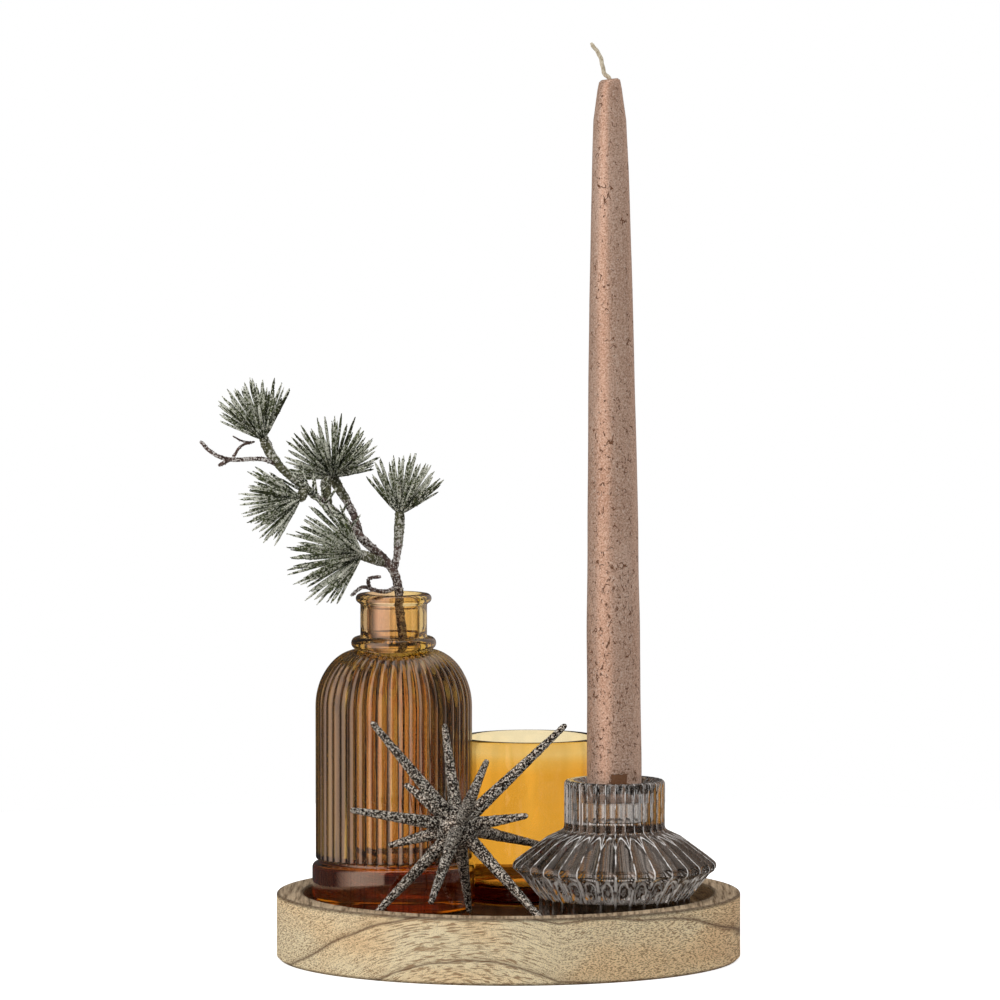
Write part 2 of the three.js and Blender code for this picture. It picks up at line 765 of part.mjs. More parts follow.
function branch() {
  const branchGroup = new THREE.Group();
  const fatStem = stemSolid(fitGap);
  const shoot = (route, steps) =>
    solid(tapered(route, shootRadius, sheathRadius, tubeSides, steps)).subtract(fatStem);
  const upperRoute = intoBud(upperShootRoute, upperTuft);
  const frontRoute = intoBud(frontShootRoute, frontTuft);
  const rightRoute = intoBud(rightShootRoute, rightTuft);
  const twig = (route, radius, steps) =>
    solid(tapered(route, radius, radius * twigTaper, wireSides, steps));
  const outerStem = solid(tapered(outerStemRoute, stemTipRadius, stemTipRadius, tubeSides, 5));
  const sideShoot = solid(tapered(sideShootRoute, shootRadius, sheathRadius, tubeSides, 3));
  const taken = [
    ...stretches(stemRoute, stemRadius),
    ...stretches(upperRoute.slice(0, -1), sheathRadius),
    ...stretches(frontRoute.slice(0, -1), sheathRadius),
    ...stretches(rightRoute.slice(0, -1), sheathRadius),
    ...stretches(leftTwigRoute, twigRadius),
    ...stretches(leftStubRoute, twigRadius),
    ...stretches(leftArcRoute, wireRadius),
    ...stretches(tendrilRoute, twigRadius),
    ...stretches(tendrilArmRoute, twigRadius),
  ];
  const sprig = (parts, tufts) =>
    wasm.Manifold.union([...parts, ...tufts.flatMap((tuft) => [bud(tuft), ...grow(tuft, taken)])]);
  const outerSprig = sprig([outerStem, sideShoot], [tipTuft, sideTuft]).subtract(fatStem);
  const leftSprig = cutBore(outerSprig, leftTwigRoute, twigRadius);
  const shootSprig = (tuft, route) => cutBore(sprig([], [tuft]), route, sheathRadius);
  const leftTwig = twig(leftTwigRoute, twigRadius, 12)
    .add(twig(leftStubRoute, twigRadius, 2))
    .add(twig(leftArcRoute, wireRadius, 4))
    .subtract(fatStem);
  const tendril = twig(tendrilRoute, twigRadius, 12)
    .add(twig(tendrilArmRoute, twigRadius * twigTaper, 5))
    .subtract(fatStem);

  branchGroup.add(
    piece("branch_stem", surface(stemSolid(0)), bark),
    piece("branch_shoot_upper", surface(shoot(upperRoute, 9)), bark),
    piece("branch_shoot_front", surface(shoot(frontRoute, 5)), bark),
    piece("branch_shoot_right", surface(shoot(rightRoute, 6)), bark),
    piece("branch_twig_left", surface(leftTwig), bark),
    piece("branch_tendril", surface(tendril), bark),
    piece("needle_sprig_left", surface(leftSprig), needleGreen),
    piece("needle_sprig_upper", surface(shootSprig(upperTuft, upperRoute)), needleGreen),
    piece("needle_sprig_front", surface(shootSprig(frontTuft, frontRoute)), needleGreen),
    piece("needle_sprig_right", surface(shootSprig(rightTuft, rightRoute)), needleGreen),
  );
  return branchGroup;
}

function stood(object, place, z) {
  object.position.set(place.x, place.y, z);
  return object;
}

const candleTray = new THREE.Group();
const candleSet = new THREE.Group();
candleSet.add(candle(), wick());
candleSet.rotation.y = -radians(candleLean);
const seatHeight = holderHeight - socketDepth + seatGap;
candleTray.add(
  tray(),
  stood(bottle(), bottlePlace, standing),
  stood(branch(), bottlePlace, standing + bottleHeight),
  stood(votiveGlass(), votivePlace, standing),
  stood(candleHolder(), holderPlace, standing),
  stood(candleSet, holderPlace, standing + seatHeight),
  stood(starburst(), starPlace, recessFloor + hubHeight),
);

export default candleTray;
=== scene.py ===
"""Looks of the candle tray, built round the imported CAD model.

Shapes are worked out in millimetres and turned into metres when a mesh is made.
"""

import math
import random

import bpy
import numpy as np
from mathutils import Matrix, Vector, noise


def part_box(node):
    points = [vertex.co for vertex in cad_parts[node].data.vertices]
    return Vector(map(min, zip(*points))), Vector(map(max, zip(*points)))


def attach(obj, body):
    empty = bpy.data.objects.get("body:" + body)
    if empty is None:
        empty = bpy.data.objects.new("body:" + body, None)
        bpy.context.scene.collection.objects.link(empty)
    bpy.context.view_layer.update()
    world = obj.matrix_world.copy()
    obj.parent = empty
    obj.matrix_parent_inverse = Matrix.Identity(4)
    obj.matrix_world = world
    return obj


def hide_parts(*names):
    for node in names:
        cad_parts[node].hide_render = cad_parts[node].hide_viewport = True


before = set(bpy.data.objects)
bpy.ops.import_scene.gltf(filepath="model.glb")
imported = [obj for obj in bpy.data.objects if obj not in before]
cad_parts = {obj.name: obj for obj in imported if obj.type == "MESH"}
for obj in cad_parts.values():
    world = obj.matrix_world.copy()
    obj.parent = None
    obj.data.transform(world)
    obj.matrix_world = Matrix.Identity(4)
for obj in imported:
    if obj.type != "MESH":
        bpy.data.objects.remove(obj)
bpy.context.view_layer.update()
scene = bpy.context.scene
MM = 0.001
GOLDEN = math.pi * (3 - math.sqrt(5))


# Where the CAD stands, in millimetres

def middle(node):
    low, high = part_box(node)
    return (np.array(low) / MM + np.array(high) / MM) / 2


def foot_of(node):
    """The middle of a node's underside."""
    low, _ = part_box(node)
    return np.array([*middle(node)[:2], low[2] / MM])


BOTTLE = foot_of("bottle")
VOTIVE = foot_of("votive_glass")
HOLDER = foot_of("candle_holder")
HUB = middle("star_hub")


# Sizes in millimetres. Heights count from a piece's own foot, unless a comment says otherwise.

SEAT_GAP = 0.3

TRAY_RADIUS = 95.0
TRAY_HEIGHT = 27.0
RECESS_RADIUS = 84.0
RECESS_FLOOR = 18.4

RIBS = 44
RIB_DEPTH = 1.0
BODY_RADIUS = 32.2
INNER_RADIUS = BODY_RADIUS - RIB_DEPTH - 3.4
NECK_RADIUS = 13.7
BORE_RADIUS = 10.9
BASE_HEIGHT = 18.9
SHOULDER = 83.0
DOME_RISE = 23.5
BEAD_HEIGHT = 5.3
NECK_HEIGHT = 13.7
LIP_HEIGHT = 4.0
# Where the bead, the neck and the lip begin
BEAD = SHOULDER + DOME_RISE
NECK = BEAD + BEAD_HEIGHT
LIP = NECK + NECK_HEIGHT
MOUTH = BOTTLE + np.array([0, 0, LIP + LIP_HEIGHT])

VOTIVE_HEIGHT = 67.5

FLUTES = 32
FOOT_HEIGHT = 8.9
DISK_HEIGHT = 21.3
CONE_HEIGHT = 35.7
HOLDER_HEIGHT = 56.4
SOCKET_DEPTH = 9.0

HUB_HEIGHT = 38.5  # above the recess floor
SPIKE_TIP = 1.2


# Node building blocks

class Term:
    """What a node gives. Arithmetic with it adds the nodes that work it out."""

    def __init__(self, graph, socket):
        self.graph = graph
        self.socket = socket

    def __add__(self, other):
        return self.graph.math("ADD", self, other)

    def __sub__(self, other):
        return self.graph.math("SUBTRACT", self, other)

    def __rsub__(self, other):
        return self.graph.math("SUBTRACT", other, self)

    def __mul__(self, other):
        return self.graph.math("MULTIPLY", self, other)

    def __truediv__(self, other):
        return self.graph.math("DIVIDE", self, other)

    def __abs__(self):
        return self.graph.math("ABSOLUTE", self)


class Graph:
    """Short names for the nodes of a world or a material."""

    def __init__(self, tree):
        self.nodes = tree.nodes
        self.links = tree.links

    def put(self, socket, value):
        """Gives a socket a term, a colour, a vector or a number."""
        if isinstance(value, Term):
            self.links.new(value.socket, socket)
        elif isinstance(value, tuple) and socket.type == "RGBA":
            socket.default_value = (*value, 1)
        else:
            socket.default_value = value

    def new(self, kind, inputs, output=0, **settings):
        """Adds a node, with its inputs by name or number, and gives one of its outputs."""
        node = self.nodes.new("ShaderNode" + kind)
        for name, value in settings.items():
            setattr(node, name, value)
        for key, value in inputs.items():
            self.put(node.inputs[key], value)
        return Term(self, node.outputs[output])

    def math(self, operation, *values):
        return self.new("Math", dict(enumerate(values)), operation=operation)

    def most(self, first, second):
        return self.math("MAXIMUM", first, second)

    def length(self, first, second):
        """The length of a flat vector from its two parts."""
        return self.math("SQRT", first * first + second * second)

    def span(self, value, low, high, to_low=0.0, to_high=1.0):
        """Moves a value from one range to another, and holds it inside the second."""
        return self.new("MapRange", dict(enumerate((value, low, high, to_low, to_high))))

    def mix(self, factor, first, second):
        return self.new("Mix", {0: factor, 6: first, 7: second}, 2, data_type="RGBA")

    def vector(self, operation, *values):
        output = "Value" if operation == "LENGTH" else "Vector"
        return self.new("VectorMath", dict(enumerate(values)), output, operation=operation)

    def joined(self, x, y, z):
        return self.new("CombineXYZ", {0: x, 1: y, 2: z})

    def parts(self, vector):
        """The three parts of a vector or a colour."""
        node = self.nodes.new("ShaderNodeSeparateXYZ")
        self.put(node.inputs[0], vector)
        return [Term(self, output) for output in node.outputs]

    def path(self, name):
        """1 for one kind of ray, such as Is Camera Ray, and 0 for the rest."""
        return self.new("LightPath", {}, name)


class Finish(Graph):
    """A procedural material."""

    def __init__(self, name, **settings):
        self.material = bpy.data.materials.new(name)
        self.material.use_nodes = True
        super().__init__(self.material.node_tree)
        self.shader = self.nodes["Principled BSDF"]
        for socket, value in settings.items():
            self.set(socket.replace("_", " "), value)
        self.place = self.new("TexCoord", {}, "Object")

    def set(self, socket, value):
        self.put(self.shader.inputs[socket], value)

    def scaled(self, x, y, z, offset=(0, 0, 0)):
        """The place in millimetres, times a factor along each axis."""
        scale = (x / MM, y / MM, z / MM)
        return self.new("Mapping", {"Vector": self.place, "Scale": scale, "Location": offset})

    def measured(self, foot=(0, 0, 0)):
        """How far the place is from a foot to the right, back and up, in millimetres."""
        return [value - float(own) for value, own in zip(self.parts(self.scaled(1, 1, 1)), foot)]

    def rib_share(self, x, y, count):
        """How far round its own rib or flute a place is, from -0.5 to 0.5."""
        turn = self.math("ARCTAN2", y, x) * (count / (2 * math.pi))
        return self.math("FRACT", turn) - 0.5

    def noise(self, place, scale=1.0, detail=3.0, rough=0.5, warp=0.0):
        inputs = {"Vector": place, "Scale": scale, "Detail": detail, "Roughness": rough, "Distortion": warp}
        return self.new("TexNoise", inputs, "Fac")

    def cells(self, place, output):
        """The colour of the cell at a place, or the distance from the cell's centre."""
        return self.new("TexVoronoi", {"Vector": place, "Scale": 1.0}, output)

    def ramp(self, value, *stops):
        """A colour ramp through (position, colour) stops."""
        node = self.nodes.new("ShaderNodeValToRGB")
        elements = node.color_ramp.elements
        while len(elements) < len(stops):
            elements.new(0.5)
        for element, (position, colour) in zip(elements, stops):
            element.position = position
            element.color = (*colour, 1)
        self.put(node.inputs["Fac"], value)
        return Term(self, node.outputs["Color"])

    def bump(self, height, depth, strength=1.0, under=None):
        """Bump of a real depth in millimetres. under is a coarser bump below it."""
        inputs = {"Height": height, "Distance": depth * MM, "Strength": strength}
        if under is not None:
            inputs["Normal"] = under
        normal = self.new("Bump", inputs)
        self.set("Normal", normal)
        return normal

    def absorb(self, colour, density):
        """Depth of colour, so that thick glass is darker than thin."""
        inside = self.new("VolumeAbsorption", {"Color": colour, "Density": density})
        self.put(self.nodes["Material Output"].inputs["Volume"], inside)


def rgb(red, green, blue):
    """A colour as it shows on screen, from 0 to 255, in linear light."""
    def linear(value):
        share = value / 255
        return share / 12.92 if share <= 0.04045 else ((share + 0.055) / 1.055) ** 2.4
    return tuple(linear(value) for value in (red, green, blue))


def dimmed(colour, share):
    return tuple(value * share for value in colour)


# Camera, light and floor, in metres

def add_camera():
    downward = 3.908  # degrees below the horizon, as in the photograph
    data = bpy.data.cameras.new("camera")
    data.lens = 288
    data.sensor_width = 36
    data.clip_start = 0.1
    data.clip_end = 100
    camera = bpy.data.objects.new("camera", data)
    camera.location = (-0.0035, -3.2614, 0.4105)
    camera.rotation_euler = (math.radians(90 - downward), 0, 0)
    scene.collection.objects.link(camera)
    scene.camera = camera


def add_lamp(name, place, target, width, height, power):
    """A soft lamp that lights surfaces, and that no mirror or glass shows."""
    data = bpy.data.lights.new(name, "AREA")
    data.shape = "RECTANGLE"
    data.size = width
    data.size_y = height
    data.energy = power
    lamp = bpy.data.objects.new(name, data)
    lamp.location = place
    aim = Vector(target) - Vector(place)
    lamp.rotation_euler = aim.to_track_quat("-Z", "Y").to_euler()
    lamp.visible_camera = False
    lamp.visible_glossy = False
    lamp.visible_transmission = False
    scene.collection.objects.link(lamp)


def add_world():
    """White to the camera, and even light on the object.

    Through glass it has white panels with dark gaps all round, and a grey ceiling. In mirrors it has
    a warm panel on the left, a dim one behind on the right and a pale ceiling.
    """
    panel_step, panel_turn = 45, 4.5
    world = bpy.data.worlds.new("studio")
    world.use_nodes = True
    scene.world = world
    g = Graph(world.node_tree)
    x, y, z = g.parts(g.new("TexCoord", {}, "Generated"))
    # Degrees from the camera's side, with the right as plus
    bearing = g.math("ARCTAN2", x, y * -1.0) * (180 / math.pi)
    wave = g.math("COSINE", (bearing + panel_turn) * (2 * math.pi / panel_step))
    through = g.mix(g.span(wave, -0.8, 0.0), (0.04, 0.035, 0.03), (1.0, 1.0, 1.0))
    through = g.mix(g.span(z, 0.35, 0.6), through, (0.4, 0.38, 0.36))
    left = g.span(bearing, -90, -58) * g.span(bearing, -14.5, -11.5, 1, 0)
    right = g.span(bearing, 98, 104) * g.span(bearing, 160, 168, 1, 0)
    warm = g.mix(g.span(bearing, -45, -15), (1.3, 0.9, 0.68), (1.0, 0.68, 0.5))
    mirrored = g.mix(left, (0.06, 0.052, 0.048), warm)
    mirrored = g.mix(right, mirrored, (0.42, 0.34, 0.29))
    mirrored = g.mix(g.span(z, 0.9, 0.99), mirrored, (0.9, 0.78, 0.7))
    colour = g.mix(g.path("Is Glossy Ray"), (0.4, 0.4, 0.4), mirrored)
    colour = g.mix(g.path("Is Transmission Ray"), colour, through)
    colour = g.mix(g.path("Is Camera Ray"), colour, (1.0, 1.0, 1.0))
    g.put(g.nodes["Background"].inputs["Color"], colour)


def add_floor():
    """A pale round floor that the camera sees as white, with the object's shadow on it."""
    reach, sides = 0.6, 96
    turns = [2 * math.pi * side / sides for side in range(sides)]
    corners = [(reach * math.cos(turn), reach * math.sin(turn), 0) for turn in turns]
    mesh = bpy.data.meshes.new("floor")
    mesh.from_pydata(corners, [], [tuple(range(sides))])
    paint = Finish("floor", Base_Color=(0.86, 0.86, 0.86), Roughness=0.9, Specular_IOR_Level=0.1,
                   Emission_Color=(1.0, 1.0, 1.0))
    paint.set("Emission Strength", paint.path("Is Camera Ray") * 0.72)
    mesh.materials.append(paint.material)
    floor = bpy.data.objects.new("floor", mesh)
    floor.visible_glossy = False
    floor.visible_transmission = False
    scene.collection.objects.link(floor)


add_camera()
add_world()
add_floor()
add_lamp("key", (-1.05, -0.75, 0.6), (0, 0, 0.2), 1.2, 1.0, 7.5)
add_lamp("fill", (1.1, -0.45, 0.5), (0, 0, 0.2), 0.5, 0.9, 1.8)
add_lamp("top", (0.0, -0.1, 1.3), (0, 0, 0.05), 0.9, 0.9, 4.5)


# Materials

def wood_finish():
    """A plain sawn board with its fibres along Y: rings and pores at the ends, streaks on top."""
    w = Finish("tray_wood")
    x, y, z = w.measured()
    # The rings are flattened arches about a heart below the tray, drawn out low towards the right
    heart_x, heart_z, flattened, ring_width = -14.0, -32.0, 0.69, 19.5
    across = (x - heart_x) * flattened
    up = z - heart_z
    pull = w.most(x - 20.0, 0.0) * 0.36
    drift = w.noise(w.scaled(0.035, 0.004, 0.06), detail=1)
    radius = w.length(across, up) - pull + (drift - 0.5) * 5.0
    ring = w.math("FRACT", (radius - 2.5) / ring_width)
    shades = [(0.0, 0.25), (0.02, 0.7), (0.07, 0.9), (0.2, 1.0), (0.955, 1.0), (0.98, 0.45), (1.0, 0.0)]
    line = w.ramp(ring, *[(share, (shade,) * 3) for share, shade in shades])
    # Pores: long strokes along the rings over the heart, dots beside it, all drawn out along Y
    along = w.math("ARCTAN2", across, up) * 60.0
    depth = y * 0.045
    strokes = w.noise(w.joined(radius, along * 0.12, depth), scale=1.9, detail=2, warp=0.4)
    dots = w.noise(w.joined(radius, along * 0.5, depth), scale=3.8, detail=1, warp=0.2)
    patch = w.noise(w.scaled(0.06, 0.01, 0.08, (2, 0, 5)), detail=1)
    beside = w.span(abs(x + patch * 40.0), 12.0, 62.0)
    pore = w.span(dots * beside + strokes * (1.0 - beside), 0.49, 0.6)
    speck = w.span(w.noise(w.scaled(1, 0.045, 1), scale=3.6, detail=2, rough=0.6), 0.53, 0.64)
    # Tone that differs at random, plus painted light: lighter towards the left and darker towards the right
    tone_and_painted_light = w.noise(w.scaled(0.03, 0.006, 0.06, (3, 1, 0)), detail=2) + w.span(x, 10, 85, 0.14, -0.1)
    body = w.ramp(tone_and_painted_light, (0.3, rgb(246, 210, 160)), (0.5, rgb(255, 226, 178)), (0.7, rgb(255, 237, 196)))
    body = w.mix(pore * 0.78, body, rgb(142, 104, 64))
    body = w.mix(speck * 0.54, body, rgb(112, 78, 46))
    body = w.mix(w.span(line, 0.0, 1.0, 0.9, 0.0), body, rgb(92, 62, 38))
    # Painted shade greys and darkens the turned top, streaked along the grain; the edges at the rims and the
    # bottom are darker
    top = w.span(w.parts(w.new("NewGeometry", {}, "Normal"))[2], 0.8, 0.97)
    streak = w.noise(w.scaled(0.7, 0.03, 0.7, (1, 4, 0)), detail=3, rough=0.6)
    grey = w.ramp(streak, (0.38, rgb(96, 74, 54)), (0.47, rgb(170, 146, 118)), (0.62, rgb(214, 190, 158)))
    body = w.mix(top * 0.85, body, grey)
    reach = w.length(x, y)
    ragged = w.noise(w.scaled(0.8, 0.8, 0.8), detail=2) * 1.6
    rims = (TRAY_RADIUS - 0.2, RECESS_RADIUS + 0.4)
    edges = [w.span(abs(reach - rim) + ragged, 1.0, 2.1, 1, 0) for rim in rims]
    edge = w.most(*edges) * w.span(z, TRAY_HEIGHT - 1.6, TRAY_HEIGHT - 0.6)
    foot = w.span(z + ragged, 0.8, 2.2, 1, 0)
    body = w.mix(w.most(edge, foot) * 0.75, body, rgb(58, 42, 30))
    # The recess is darker, in brown clouds, and glossier
    inside = w.span(reach, RECESS_RADIUS - 0.6, RECESS_RADIUS + 0.6, 1, 0)
    inside = inside * w.span(z, TRAY_HEIGHT - 1.8, TRAY_HEIGHT - 0.4, 1, 0)
    cloud = w.noise(w.scaled(0.2, 0.02, 0.2), detail=3)
    body = w.mix(inside, body, w.ramp(cloud, (0.3, rgb(58, 43, 31)), (0.7, rgb(118, 89, 63))))
    w.set("Base Color", body)
    w.set("Roughness", w.span(inside, 0, 1, 0.66, 0.14))
    coarse = w.bump(line, 0.12, 0.6)
    w.bump(1.0 - w.most(pore, speck), 0.1, 0.9, under=coarse)
    return w.material


def glass_finish(name, tint, absorb, density, wave, wave_size=9.0, rough=0.0, lustre=0.0):
    """Clear tinted glass, slightly wavy. Gives the finish and its tint of uneven depth.

    wave is the depth of the waves, and lustre the weight of a bright skin on the glass.
    """
    g = Finish(name, Roughness=rough, IOR=1.5, Transmission_Weight=1.0)
    thick = g.noise(g.scaled(1 / wave_size, 1 / wave_size, 0.4 / wave_size), detail=1)
    if lustre:
        g.set("Coat Weight", lustre)
        g.set("Coat IOR", 2.3)
        g.set("Coat Roughness", 0.01)
    if wave:
        g.bump(thick, wave)
    g.absorb(absorb, density)
    return g, g.mix(g.span(thick, 0.35, 0.65), dimmed(tint, 0.93), tint)


def bottle_finish():
    """Amber glass with its lustre on the outside only, and painted shade in the grooves and towards its
    sides.
    """
    lustre = 0.9
    g, surface_colour = glass_finish("bottle_glass", (1.0, 0.58, 0.31), (0.98, 0.87, 0.35), 150,
                              wave=0.05, lustre=lustre)
    x, y, up = g.measured(BOTTLE)
    ribbed = g.span(up, BASE_HEIGHT - 1.9, BASE_HEIGHT + 1.1, 0.3, 1.0)
    ribbed = ribbed * g.span(up, BEAD - 6.5, BEAD + 1.5, 1.0, 0.2)
    groove = g.span(abs(g.rib_share(x, y, RIBS)), 0.03, 0.12, 1, 0)
    # How far the plain round body turns away, without its ribs, which sets the painted shade towards its
    # sides
    outward = g.vector("NORMALIZE", g.joined(x, y, 0.0))
    side = g.span(g.new("LayerWeight", {"Normal": outward}, "Facing"), 0.04, 0.32, 0.0, 0.83)
    # Long cords of painted light and shade: darker and brighter streaks drawn into the tint
    cord = g.noise(g.scaled(0.5, 0.5, 0.02), detail=2, rough=0.6)
    surface_colour = g.mix(g.span(cord, 0.35, 0.4, 0.7, 0.0), surface_colour, (0.36, 0.14, 0.05))
    surface_colour = g.mix(g.span(cord, 0.44, 0.5), surface_colour, (1.0, 0.66, 0.32))
    surface_colour = g.mix(g.span(cord, 0.54, 0.6), surface_colour, (1.0, 0.84, 0.48))
    # Painted light across the neck: darker and pinker on the left, brighter gold on the right
    neck = g.mix(g.span(x, -5, 5), (0.82, 0.6, 0.51), (1.0, 0.78, 0.49))
    surface_colour = g.mix(g.span(up, BEAD - 8.5, BEAD - 0.5), surface_colour, neck)
    # Painted shade: near black in the grooves and towards the sides
    g.set("Base Color", g.mix(g.most(groove, side) * ribbed, surface_colour, (0.012, 0.009, 0.008)))
    # Half way through the wall: upright in the body and the neck, an ellipse at the shoulder
    body_wall = (BODY_RADIUS - RIB_DEPTH + INNER_RADIUS) / 2
    neck_wall = (NECK_RADIUS + BORE_RADIUS) / 2
    climb = g.span(up, SHOULDER - 1.7, BEAD - 3.4)
    wall = g.math("SQRT", 1.0 - climb * climb) * (body_wall - neck_wall) + neck_wall
    outside = g.span(g.length(x, y) - wall, -0.3, 0.3)
    g.set("Coat Weight", outside * lustre)
    return g.material


def votive_finish():
    """Yellow glass whose tint fades out at the rim."""
    g, surface_colour = glass_finish("votive_glass", (1.0, 0.78, 0.37), (0.93, 0.79, 0.37), 480,
                              wave=0.03, wave_size=12.0)
    up = g.measured(VOTIVE)[2]
    clear = VOTIVE_HEIGHT - 5.5
    g.set("Base Color", g.mix(g.span(up, clear - 8.0, clear), surface_colour, (0.99, 0.95, 0.87)))
    return g.material


def holder_finish():
    """Smoky pressed glass. The light on its ridges, arches and loops is painted by their place."""
    g, surface_colour = glass_finish("holder_glass", (0.94, 0.92, 0.9), (0.5, 0.42, 0.36), 12,
                              wave=0, rough=0.02, lustre=0.3)
    x, y, up = g.measured(HOLDER)
    across = g.rib_share(x, y, FLUTES)
    fleck = g.noise(g.scaled(0.3, 0.3, 0.22), detail=2, rough=0.6)
    ragged = (fleck - 0.5) * 0.1
    aside = abs(across) + ragged
    below = g.span(up, DISK_HEIGHT - 3.3, DISK_HEIGHT - 0.3, 1, 0)
    ridge = g.span(aside + below * 0.05, 0.455, 0.475)
    shaded = g.span(aside, 0.36, 0.42) * g.span(up, DISK_HEIGHT - 9.3, DISK_HEIGHT - 1.3)
    # An arch of painted light at the top of each of the cone's flutes
    arch = up + across * across * 16.0
    arch = g.span(abs(arch - (CONE_HEIGHT - 0.9)), 0.25, 0.5, 1, 0)
    # A long loop of painted light in each flute of the disk's lower half, where the glass bends light
    loop_middle, loop_reach, loop_width = 13.6, 4.4, 0.3
    away = g.length(across / loop_width, (up - loop_middle) / loop_reach) + ragged * 11.0
    loop = g.span(away, 0.8, 0.9) * g.span(away, 1.1, 1.25, 1, 0)
    loop = g.most(loop, g.span(away, 0.2, 0.4, 0.6, 0.0))
    loop = loop * g.span(g.noise(g.scaled(0.22, 0.22, 0.2, (1, 7, 3)), detail=1), 0.38, 0.6, 0.4, 1.0)
    shine = g.most(ridge, arch) * g.span(g.noise(g.scaled(0.16, 0.16, 0.3, (4, 1, 2)), detail=1), 0.34, 0.52)
    shine = g.most(shine, loop * below) * g.span(up, FOOT_HEIGHT - 1.4, FOOT_HEIGHT + 0.6, 0.25, 1.0)
    # Fine streaks of painted light below the disk's edge and at the top of the collar
    lower = below * g.span(up, FOOT_HEIGHT - 0.4, FOOT_HEIGHT + 1.6)
    pale = g.most(lower, g.span(up, HOLDER_HEIGHT - 5.9, HOLDER_HEIGHT - 4.4, 0.0, 0.6))
    streak = g.noise(g.scaled(1.1, 1.1, 0.22, (2, 5, 1)), detail=1)
    shine = g.most(shine, pale * g.span(streak, 0.53, 0.58, 0.0, 0.5))
    # Painted shade: the cone, the foot and the glass beside the ridges are darker
    cone_shade = g.span(up, DISK_HEIGHT - 0.3, DISK_HEIGHT + 2.7)
    cone_shade = cone_shade * g.span(up, CONE_HEIGHT - 1.7, CONE_HEIGHT + 0.8, 1, 0)
    surface_colour = g.mix(cone_shade * 0.9, surface_colour, (0.3, 0.265, 0.23))
    surface_colour = g.mix(g.span(up, FOOT_HEIGHT - 0.9, FOOT_HEIGHT + 1.1, 0.9, 0.0), surface_colour, (0.2, 0.16, 0.13))
    surface_colour = g.mix(shaded * 0.6, surface_colour, (0.22, 0.19, 0.17))
    g.set("Base Color", g.mix(shine, surface_colour, (1.0, 0.98, 0.96)))
    g.set("Transmission Weight", g.span(shine, 0, 1, 1.0, 0.1))
    return g.material


def lacquer_finish():
    """Rose copper lacquer over brown wax, pitted and a little rubbed, with a chip at the foot."""
    c = Finish("candle_lacquer")
    x, y, up = c.measured(HOLDER)
    cloud = c.noise(c.scaled(0.05, 0.05, 0.02), detail=3)
    grain = c.noise(c.scaled(1.5, 1.5, 1.5), detail=3, rough=0.7)
    base = c.ramp(cloud, (0.3, rgb(200, 161, 138)), (0.55, rgb(212, 175, 152)), (0.75, rgb(224, 189, 168)))
    base = c.mix(c.span(grain, 0.52, 0.64, 0.0, 0.6), base, rgb(244, 226, 212))
    base = c.mix(c.span(grain, 0.36, 0.48, 0.7, 0.0), base, rgb(136, 100, 80))
    # Pits come in patches, more of them low on the candle
    patch = c.noise(c.scaled(0.11, 0.11, 0.045), detail=2)
    pit = c.noise(c.scaled(0.7, 0.7, 0.45), detail=3, rough=0.72, warp=0.6)
    pitted = c.span(pit + patch * 0.24 + c.span(up, 51.3, 311.3, 0.1, 0.0), 0.81, 0.84)
    dots = c.cells(c.scaled(0.5, 0.5, 0.42), "Distance")
    chosen = c.span(c.noise(c.scaled(0.4, 0.4, 0.3, (5, 2, 8)), detail=1), 0.53, 0.58)
    hole = c.most(pitted, c.span(dots, 0.1, 0.18, 1, 0) * chosen)
    # Short bent scratches
    swirl = c.noise(c.scaled(0.3, 0.3, 0.24, (9, 4, 1)), detail=1)
    broken = c.span(c.noise(c.scaled(0.3, 0.3, 0.2, (3, 8, 6)), detail=1), 0.59, 0.62)
    hole = c.most(hole, c.span(abs(swirl - 0.5), 0.012, 0.022, 1, 0) * broken)
    base = c.mix(hole, base, rgb(118, 80, 56))
    # The chip stands at the front, just above the holder, and shows the wax below
    chip_x, chip_up, half_width, half_height = 1.6, HOLDER_HEIGHT + 0.3, 3.3, 2.9
    away = c.most(abs((x - chip_x) / half_width), abs((up - chip_up) / half_height)) + grain * 0.5
    chip = c.span(away, 1.2, 1.3, 1, 0) * c.span(y, -3.0, -2.0, 1, 0)
    base = c.mix(chip * 0.9, base, rgb(112, 70, 34))
    bare = c.most(hole, chip)
    c.set("Base Color", base)
    c.set("Metallic", c.span(bare, 0, 1, 0.25, 0.0))
    c.set("Roughness", c.span(bare + grain * 0.2, 0, 1, 0.28, 0.75))
    under = c.bump(c.noise(c.scaled(0.3, 0.3, 0.12), detail=2), 0.15, 0.6)
    fine = c.bump(grain, 0.06, 0.7, under=under)
    c.bump(1.0 - bare, 0.2, under=fine)
    return c.material


def glitter_finish():
    """Dark grit with silver flakes: each cell has its own shade, shine and height."""
    g = Finish("star_glitter", Metallic=0.25)
    shade, shine, height = g.parts(g.cells(g.scaled(2.1, 2.1, 2.1), "Color"))
    grit = g.noise(g.scaled(1.1, 1.1, 1.1, (3, 5, 1)), detail=2, rough=0.7)
    from_hub = g.vector("LENGTH", g.vector("SUBTRACT", g.scaled(1, 1, 1), tuple(HUB)))
    value = shade * 0.7 + grit * 0.45 + g.span(from_hub, 7, 16, -0.015, 0.03)
    colour = g.ramp(value, (0.42, rgb(14, 11, 9)), (0.56, rgb(42, 36, 30)), (0.64, rgb(84, 74, 64)),
                    (0.71, rgb(166, 156, 143)), (0.8, rgb(244, 238, 226)))
    g.set("Base Color", colour)
    g.set("Roughness", g.span(shine, 0, 1, 0.22, 0.7))
    g.bump(height, 0.3)
    return g.material


